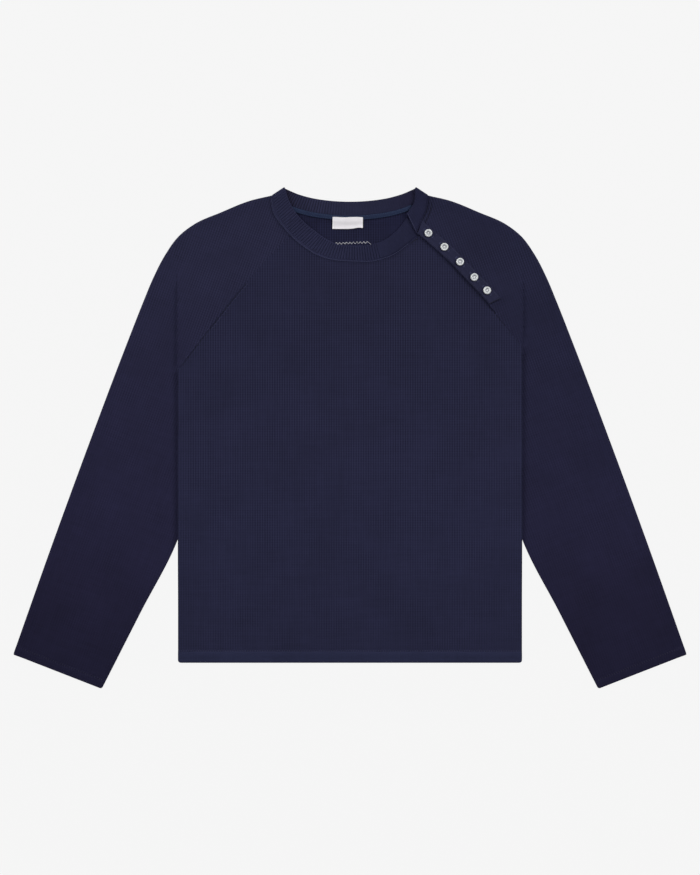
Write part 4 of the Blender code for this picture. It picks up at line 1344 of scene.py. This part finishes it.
label = {
    "size": (42.4, 18.2), "top": (-3.15, 308.9), "wall": 0.5, "points": (25, 61), "spacing": (0.75, 0.74),
    "z": (3.35, 1.95), "slope": (0.3, 0.75), "sideLean": 0.35, "topWave": 0.25, "topWaves": 0.21,
    "uneven": (0.16, 17, 3), "flatTop": 0.3, "flatFoot": (0.35, 1.05), "lip": 0.5, "lipFrom": 0.8,
    "curl": 1.1, "curlAcross": (8, 21), "curlFrom": 0.45, "rounding": 0.15, "hem": 0.1,
    "hemStep": (0.9, 1.6),
    "lower": ((-25.1, 292.6), (-12.0, 292.4), (-1.4, 292.5), (4.5, 293.1), (11.2, 294.2), (15.0, 294.1),
              (19.5, 293.4)),
}


def labelPlace():  # x, y and the share of the way down
    rows, columns = label["points"]
    u, v = np.meshgrid(np.linspace(-0.5, 0.5, columns), np.linspace(0, 1, rows))
    x = label["top"][0] + label["size"][0] * u - label["sideLean"] * v * (u < 0) * abs(2 * u)
    bottom = np.interp(x, *np.array(label["lower"]).T)
    above = label["top"][1] + label["topWave"] * np.sin(x * label["topWaves"]) * (1 - v)
    return x, above + (bottom - above) * v, v


def makeLabel():
    x, y, v = labelPlace()
    z = label["z"][0] + (label["z"][1] - label["z"][0]) * ease(*label["slope"], v)
    share, size, seed = label["uneven"]
    (fade, end), wall = label["flatFoot"], label["wall"] / 2
    z = z + share * softNoise(x, y, size, seed) * ease(0, label["flatTop"], v) * ease(0, fade, end - v)
    z = z + label["curl"] * ease(*label["curlAcross"], x) * ease(label["curlFrom"], 1, v)
    z = z + label["lip"] * ease(label["lipFrom"], 1, v)
    spare = rounded(*x.shape, label["spacing"], label["rounding"])
    fromEdge = np.minimum.reduce([x - x[:, :1], x[:, -1:] - x, y - y[-1:]])
    hem = label["hem"] * (1 - ease(*label["hemStep"], fromEdge))
    shell = Shell()
    closedSheet(shell, np.dstack((x, y, z + wall - spare + hem)), np.dstack((x, y, z - wall)))
    made = shell.make("woven_label", [labelFinish()], "label")
    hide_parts("label")
    return made


tapeStrip, wovenLabel = makeTape(), makeLabel()
print("placket, tape and label ready")


button = {
    "fromSeam": 11.1, "along": (13.2, 42.3, 71.4, 100.9, 126.5), "sides": 48,
    "profile": ((0.9, 0.0), (4.1, 0.0), (4.85, 0.25), (5.25, 0.75), (5.4, 1.25), (5.25, 1.75),
                (4.95, 2.15), (4.4, 2.42), (3.85, 2.45), (3.3, 2.25), (2.85, 1.8), (2.6, 1.35),
                (2.35, 1.15)),
    "widest": 5.4, "plate": 1.15, "dishShadeFrom": 9,
    "holeAt": 1.1, "hole": 0.52, "holeMouth": 0.06, "holeFloor": 0.3, "holeSides": 12,
    "turns": (0.3, -0.15, 0.55, 0.1, -0.4), "leans": (12.0, 3.0, -3.0, 2.0, -4.0),
    "strands": ((math.pi / 4, 0.3), (-math.pi / 4, 0.62)),  # two strands over two: turn, height
    "strandOut": 0.3, "strandLength": 2.9, "strandRadius": 0.33,
}
buttonhole = {  # its two lips are longer than the button, and a bar closes each end
    "lip": {"out": 0.95, "half": 8.6, "lift": 0.55, "spacing": 0.62, "length": 1.7, "radius": 0.3},
    "bar": {"out": 8.5, "half": 1.7, "lift": 0.62, "spacing": 0.55, "length": 1.2, "radius": 0.32},
}
pearl = pearlFinish("pearly plastic", (190, 193, 195), (219, 221, 222))
# darker pearl for the dish wall and the plate: painted shade and painted reflection of the dark cloth
pearlDishShade = pearlFinish("pearly dish, painted shade", (152, 155, 158), (184, 187, 190))


def ringAt(radius, sides, cx=0.0, cy=0.0):
    turns = 2 * math.pi * np.arange(sides) / sides
    return np.column_stack((cx + radius * np.cos(turns), cy + radius * np.sin(turns)))


def leanPoints(groups, centre, across, lean):  # a button leans on its thread, its low edge held in place
    c, s = math.cos(lean), math.sin(lean)
    for points in groups:
        away = (points[:, :2] - centre[:2]) @ across
        up = points[:, 2] - centre[2]
        points[:, :2] += (away * (c - 1) - up * s)[:, None] * across
        points[:, 2] = centre[2] + up * c + away * s + button["widest"] * abs(s)


def makeButton(number, x, y, z, turn, across, lean):
    shell = Shell()
    rings = []
    for radius, height in button["profile"]:
        flat = ringAt(radius, button["sides"]) + (x, y)
        rings.append(shell.add(np.column_stack((flat, np.full(len(flat), z + height)))))
    shell.cover([rings[0]], flip=True)
    # rings from dishShadeFrom inwards take the darker pearl: painted shade in the dish
    for k, (below, above) in enumerate(zip(rings, rings[1:])):
        shell.strip(above, below, int(k >= button["dishShadeFrom"]), closed=True)
    holes = []
    for k in range(4):
        angle = turn + math.pi / 4 + k * math.pi / 2
        at = button["holeAt"] * math.sqrt(2) * np.array((math.cos(angle), math.sin(angle)))
        flat = ringAt(button["hole"], button["holeSides"], *at) + (x, y)
        mouth, floor = (shell.add(np.column_stack((flat, np.full(len(flat), z + height))))
                        for height in (button["plate"] - button["holeMouth"], button["holeFloor"]))
        shell.strip(mouth, floor, closed=True, flip=True)
        shell.cover([floor])
        holes.append(mouth)
    flat = np.concatenate(shell.points)[:, :2] - (x, y)
    loops = [rings[-1], *holes]
    ids = np.concatenate(loops)
    faces, middles = fillBetween(flat[ids], loops, 1e-5)
    for hole in holes:
        keep = np.linalg.norm(middles - flat[hole].mean(axis=0), axis=1) > button["hole"] * 0.98
        faces, middles = faces[keep], middles[keep]
    # the plate between the holes takes the same painted shade
    shell.cover(ids[faces], 1)
    leanPoints(shell.points, (x, y, z), across, lean)
    made = shell.make(f"pearl_button_{number}", [pearl, pearlDishShade], "pearl", sharp=40)
    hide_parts(f"button_{number}")


def sewButton(shell, x, y, z, turn, across, lean):
    first, out = len(shell.points), button["strandOut"]
    for cross, rise in button["strands"]:
        c, s = math.cos(turn + cross), math.sin(turn + cross)
        middles = [(x - s * side, y + c * side, z + button["plate"] + rise) for side in (-out, out)]
        length = button["holeAt"] * button["strandLength"]
        stitchMesh(shell, middles, [(c, s)] * 2, length, button["strandRadius"])
    leanPoints(shell.points[first:], (x, y, z), across, lean)


def sewButtonhole(shell, centre, step):
    square = np.array((-step[1], step[0]))
    for part, way, outward in (("lip", step, square), ("bar", square, step)):
        sizes = buttonhole[part]
        for side in (-1, 1):
            place = centre + outward * side * sizes["out"]
            ends = [place - way * sizes["half"], place + way * sizes["half"]]
            stitchLine(shell, ends, stripZ, sizes["spacing"], sizes["length"], sizes["radius"],
                       math.pi / 2, sizes["lift"])


def makeButtons():
    reach, points, _, across = placketLine(0.0, 200)
    buttonThread, holeThread = Shell(), Shell()
    places = zip(button["along"], button["turns"], button["leans"])
    for number, (along, turn, lean) in enumerate(places, 1):
        k = int(np.argmin(np.abs(reach - along)))
        x, y = points[k] + across[k] * button["fromSeam"]
        z = float(stripTop(x, y)) + top["gap"]
        makeButton(number, x, y, z, turn, across[k], math.radians(lean))
        sewButton(buttonThread, x, y, z, turn, across[k], math.radians(lean))
        step = points[min(k + 1, len(points) - 1)] - points[k - 1]
        sewButtonhole(holeThread, np.array((x, y)), step / np.linalg.norm(step))
    buttonThread.make("button_threads", [buttonThreads], "pearl")
    holeThread.make("buttonhole_stitches", [ridgeThread], "sleeve_cloth")


makeButtons()
print("buttons ready")


sewing = {"length": 2.7, "spacing": 3.3, "radius": 0.34}
tick = {"length": 3.0, "spacing": 3.45, "radius": 0.42}  # the short stitches across a hem or cuff
crosswise = math.pi / 2


def seamStitches(name, lines, slot="body_cloth", thread=navyThread, **changes):
    # Each line says where it runs, the surface it lies on, the turn of its stitches and their lift
    values = {**sewing, **changes}
    shell = Shell()
    for line, heights, turn, lift in lines:
        stitchLine(shell, line, heights, values["spacing"], values["length"], values["radius"], turn, lift)
    return shell.make(name, [thread], slot)


def sleeveTop(x, y):
    return sleeveFrontZ(x, y) + top["wall"] / 2


def floorLevel(x, y):
    return np.zeros_like(x + y)


def cuffTop(x, y):  # halfway from the doubled cuff to the single cloth
    return sleeveFrontZ(x, y, (top["wall"] + top["turnedWall"]) / 2) + sleeve["cuffStitchLift"]


def cuffLineAt(side, up):
    outer, inner = np.array((rimLine[0], sleeveInner[0])) * (side["sign"], 1)
    rise = np.array(side["grain"]) * up
    return np.array((outer + rise, inner + rise + (outer - inner) * sleeve["cuffStitchIn"]))


hemLine = np.array([(x, top["hemY"] + body["hemStitch"]) for x in body["hemStitchEnds"]])
seamStitches("hem_stitches", [(hemLine, frontTop, crosswise, -0.1)], **tick)
seamStitches("hem_stitches_back", [(hemLine, backUnder, crosswise, 0.3)], **tick)
for name, side in sides.items():
    line = cuffLineAt(side, sleeve["cuffStitch"])
    seamStitches(f"cuff_stitches_{name}", [(line, cuffTop, crosswise, 0.0)],
                 "sleeve_cloth", cuffThread, **tick)


def alongSeam(line, distance, start, end):  # moved sideways; start and end are shares of its length
    moved = sideways(line, distance)
    reach = lineLength(moved)
    return moved[(reach >= start * reach[-1]) & (reach <= end * reach[-1])]


raglanRight, raglanLeft = frontSeams
seamStitches("raglan_stitches", [
    (alongSeam(raglanRight, 0.9, 0.0, 0.3), sleeveTop, 0.0, -0.05),
    (alongSeam(raglanRight, -3.2, 0.3, 0.64), frontTop, 0.0, -0.05),
], thread=ridgeThread, radius=0.26)
# seam lines in the raglan grooves, in near-black thread: real seams, drawn darker as painted shade of the
# grooves
seamStitches("raglan_seams", [
    (alongSeam(raglanRight, -1.4, 0.03, 0.63), frontTop, 0.0, -0.5),
    (alongSeam(raglanLeft, 1.0, 0.17, 0.34), frontTop, 0.0, -0.3),
], thread=shadeThread, length=3.7, radius=0.22)
bandEdge = stretches["front"][::4]


def bandTop(x, y):  # the top of the band's rolled edge
    _, _, along = nearestOnLine(np.column_stack((x, y)), bandEdge[:, 2:4])
    return np.interp(along, lineLength(bandEdge[:, 2:4]), bandEdge[:, 4]) + band["edgeTop"]


neckRidge = np.linspace(-0.6, 1.5, len(bandEdge))[:, None]
seamStitches("neckline_stitches", [
    (alongSeam(bandEdge[:, 2:4], neckRidge, 0.004, 0.905), bandTop, 0.0, 0.0),
], "rib_knit", ridgeThread, length=3.3, radius=0.3)
# a dark line where the band's end meets the strip: painted shadow of the gap
notchShadowLine = np.array([(84.7, 272.7), (95.2, 279.0)])
seamStitches("neckline_notch_shadow", [(notchShadowLine, frontTop, 0.0, 0.4)], thread=shadeThread, length=3.4, radius=0.55)
bandEnd = np.linspace(bandRows["placket end"][0][:2], bandRows["placket end"][0][2:4], 40)
seamStitches("band_end_fold", [
    (alongSeam(bandEnd, 0.9, 0.04, 0.9), floorLevel, 0.0, 6.3),
], "rib_knit", ridgeThread, length=3.3, radius=0.4)
# two seam lines at the band's end, in near-black thread sunk in grooves: real seams, drawn darker as
# painted shade of the grooves
endSeam = neckSeam["placket end"][::4]
seamStitches("band_end_stitches", [
    (alongSeam(endSeam, -5.6, 0.03, 0.9), sleeveTop, 0.0, -1.0),
    (alongSeam(endSeam, -0.7, 0.03, 0.95), sleeveTop, 0.0, -0.4),
], "sleeve_cloth", shadeThread, length=3.6, radius=0.4)


def onStrip(inset):  # a line down the placket strip, at an inset from its edge
    return stripPlace(placket["stripStart"], placket["stripSkew"], 120, placket["stripEdge"] + inset)


# a dark line along the strip's foot: painted shadow of its end edge
stripFootShadow = np.array([onStrip(inset)[-1] for inset in placket["footShadow"]])
seamStitches("placket_foot_shadow", [(stripFootShadow, stripTop, 0.0, 0.0)],
             "sleeve_cloth", shadeThread, length=2.4, spacing=2.2, radius=0.5)
seamStitches("placket_stitches", [
    (onStrip(inset)[2:-2], stripTop, 0.0, 0.05) for inset in placket["stitchInset"]
], "sleeve_cloth")
tapeIn = tape["width"] / 2 - tape["stitchIn"]
seamStitches("tape_stitches", [
    (tapeLine(offset), floorLevel, 0.0, tape["z"] + tape["stitchLift"]) for offset in (-tapeIn, tapeIn)
], "tape", blueThread, radius=0.26)


zigzag = {
    "start": -21.6, "end": 24.6, "y": (272.1, 273.7), "period": 4.8, "height": 2.8,
    "radius": 0.22, "lift": 0.12, "overlap": 0.5,
    "hook": ((26.4, 273.0), (28.4, 271.8), (30.0, 270.3), (31.6, 268.6)),
}


def makeZigzag():
    shell = Shell()
    xs = np.arange(zigzag["start"], zigzag["end"], zigzag["period"] / 2)
    swing = zigzag["height"] / 2 * np.where(np.arange(len(xs)) % 2, 1, -1)
    ys = np.linspace(*zigzag["y"], len(xs)) + swing
    points = np.vstack((np.column_stack((xs, ys)), zigzag["hook"]))
    middles, ways = (points[1:] + points[:-1]) / 2, np.diff(points, axis=0)
    for middle, way in zip(middles, ways):
        z = backTop(*middle) + zigzag["lift"]
        length = np.linalg.norm(way) + zigzag["overlap"]
        stitchMesh(shell, [(*middle, z)], [way], length, zigzag["radius"])
    return shell.make("zigzag_stitches", [whiteThread], "label")


makeZigzag()
print("sewing ready")


studio = {
    "floor": 4.0, "floorLow": 0.0002, "floorGlow": 0.905, "paperGrain": 1.5, "paper": (0.012, 0.014),
    "world": 0.25,
    "lamps": {
        "left": {"place": (-2.3, 0.9, 1.7), "size": 1.4, "power": 48.0},
        "right": {"place": (2.3, 0.9, 1.7), "size": 1.4, "power": 54.0},
        "head": {"place": (0.0, 2.4, 2.2), "size": 1.6, "power": 22.0},
    },
    "sensor": 24.0, "distance": 3.0, "seen": 1.225, "centre": (0.0, 0.00042, 0.003), "clip": (0.1, 20.0),
}


def makeFloor():
    mesh = bpy.data.meshes.new("studio_floor")
    half = studio["floor"] / 2
    corners = [(-half, -half, 0), (half, -half, 0), (half, half, 0), (-half, half, 0)]
    mesh.from_pydata(corners, [], [(0, 1, 2, 3)])
    floor = stand("studio_floor", mesh)
    paper = Finish("studio paper")
    grain = paper.noise(studio["paperGrain"], 2.0)
    dark, light = ((tone, tone, tone, 1.0) for tone in studio["paper"])
    paper.set(Base_Color=paper.mix(grain, dark, light), Roughness=0.9, Specular_IOR_Level=0.0,
              Emission_Color=(1.0, 1.0, 1.0, 1.0), Emission_Strength=studio["floorGlow"])
    mesh.materials.append(paper.material)
    floor.location.z = -studio["floorLow"]


def makeLight():
    world = bpy.data.worlds.new("studio")
    world.use_nodes = True
    sky = world.node_tree.nodes["Background"].inputs
    sky["Color"].default_value = (1.0, 1.0, 1.0, 1.0)
    sky["Strength"].default_value = studio["world"]
    bpy.context.scene.world = world
    for name, facts in studio["lamps"].items():
        light = bpy.data.lights.new(f"studio_{name}", "AREA")
        light.shape, light.size, light.energy = "SQUARE", facts["size"], facts["power"]
        lamp = stand(f"studio_{name}", light)
        lamp.location = facts["place"]
        x, y, z = facts["place"]
        lamp.rotation_euler = (math.atan2(math.hypot(x, y), z), 0.0, math.atan2(x, -y))


def makeCamera():
    camera = bpy.data.cameras.new("studio_camera")
    camera.sensor_fit, camera.sensor_height = "VERTICAL", studio["sensor"]
    camera.lens = studio["sensor"] * studio["distance"] / studio["seen"]
    camera.clip_start, camera.clip_end = studio["clip"]
    view = stand("studio_camera", camera)
    x, y, z = studio["centre"]
    view.location = (x, y, z + studio["distance"])
    bpy.context.scene.camera = view


bpy.context.scene.view_settings.view_transform = "Standard"
makeFloor()
makeLight()
makeCamera()
print("studio ready")
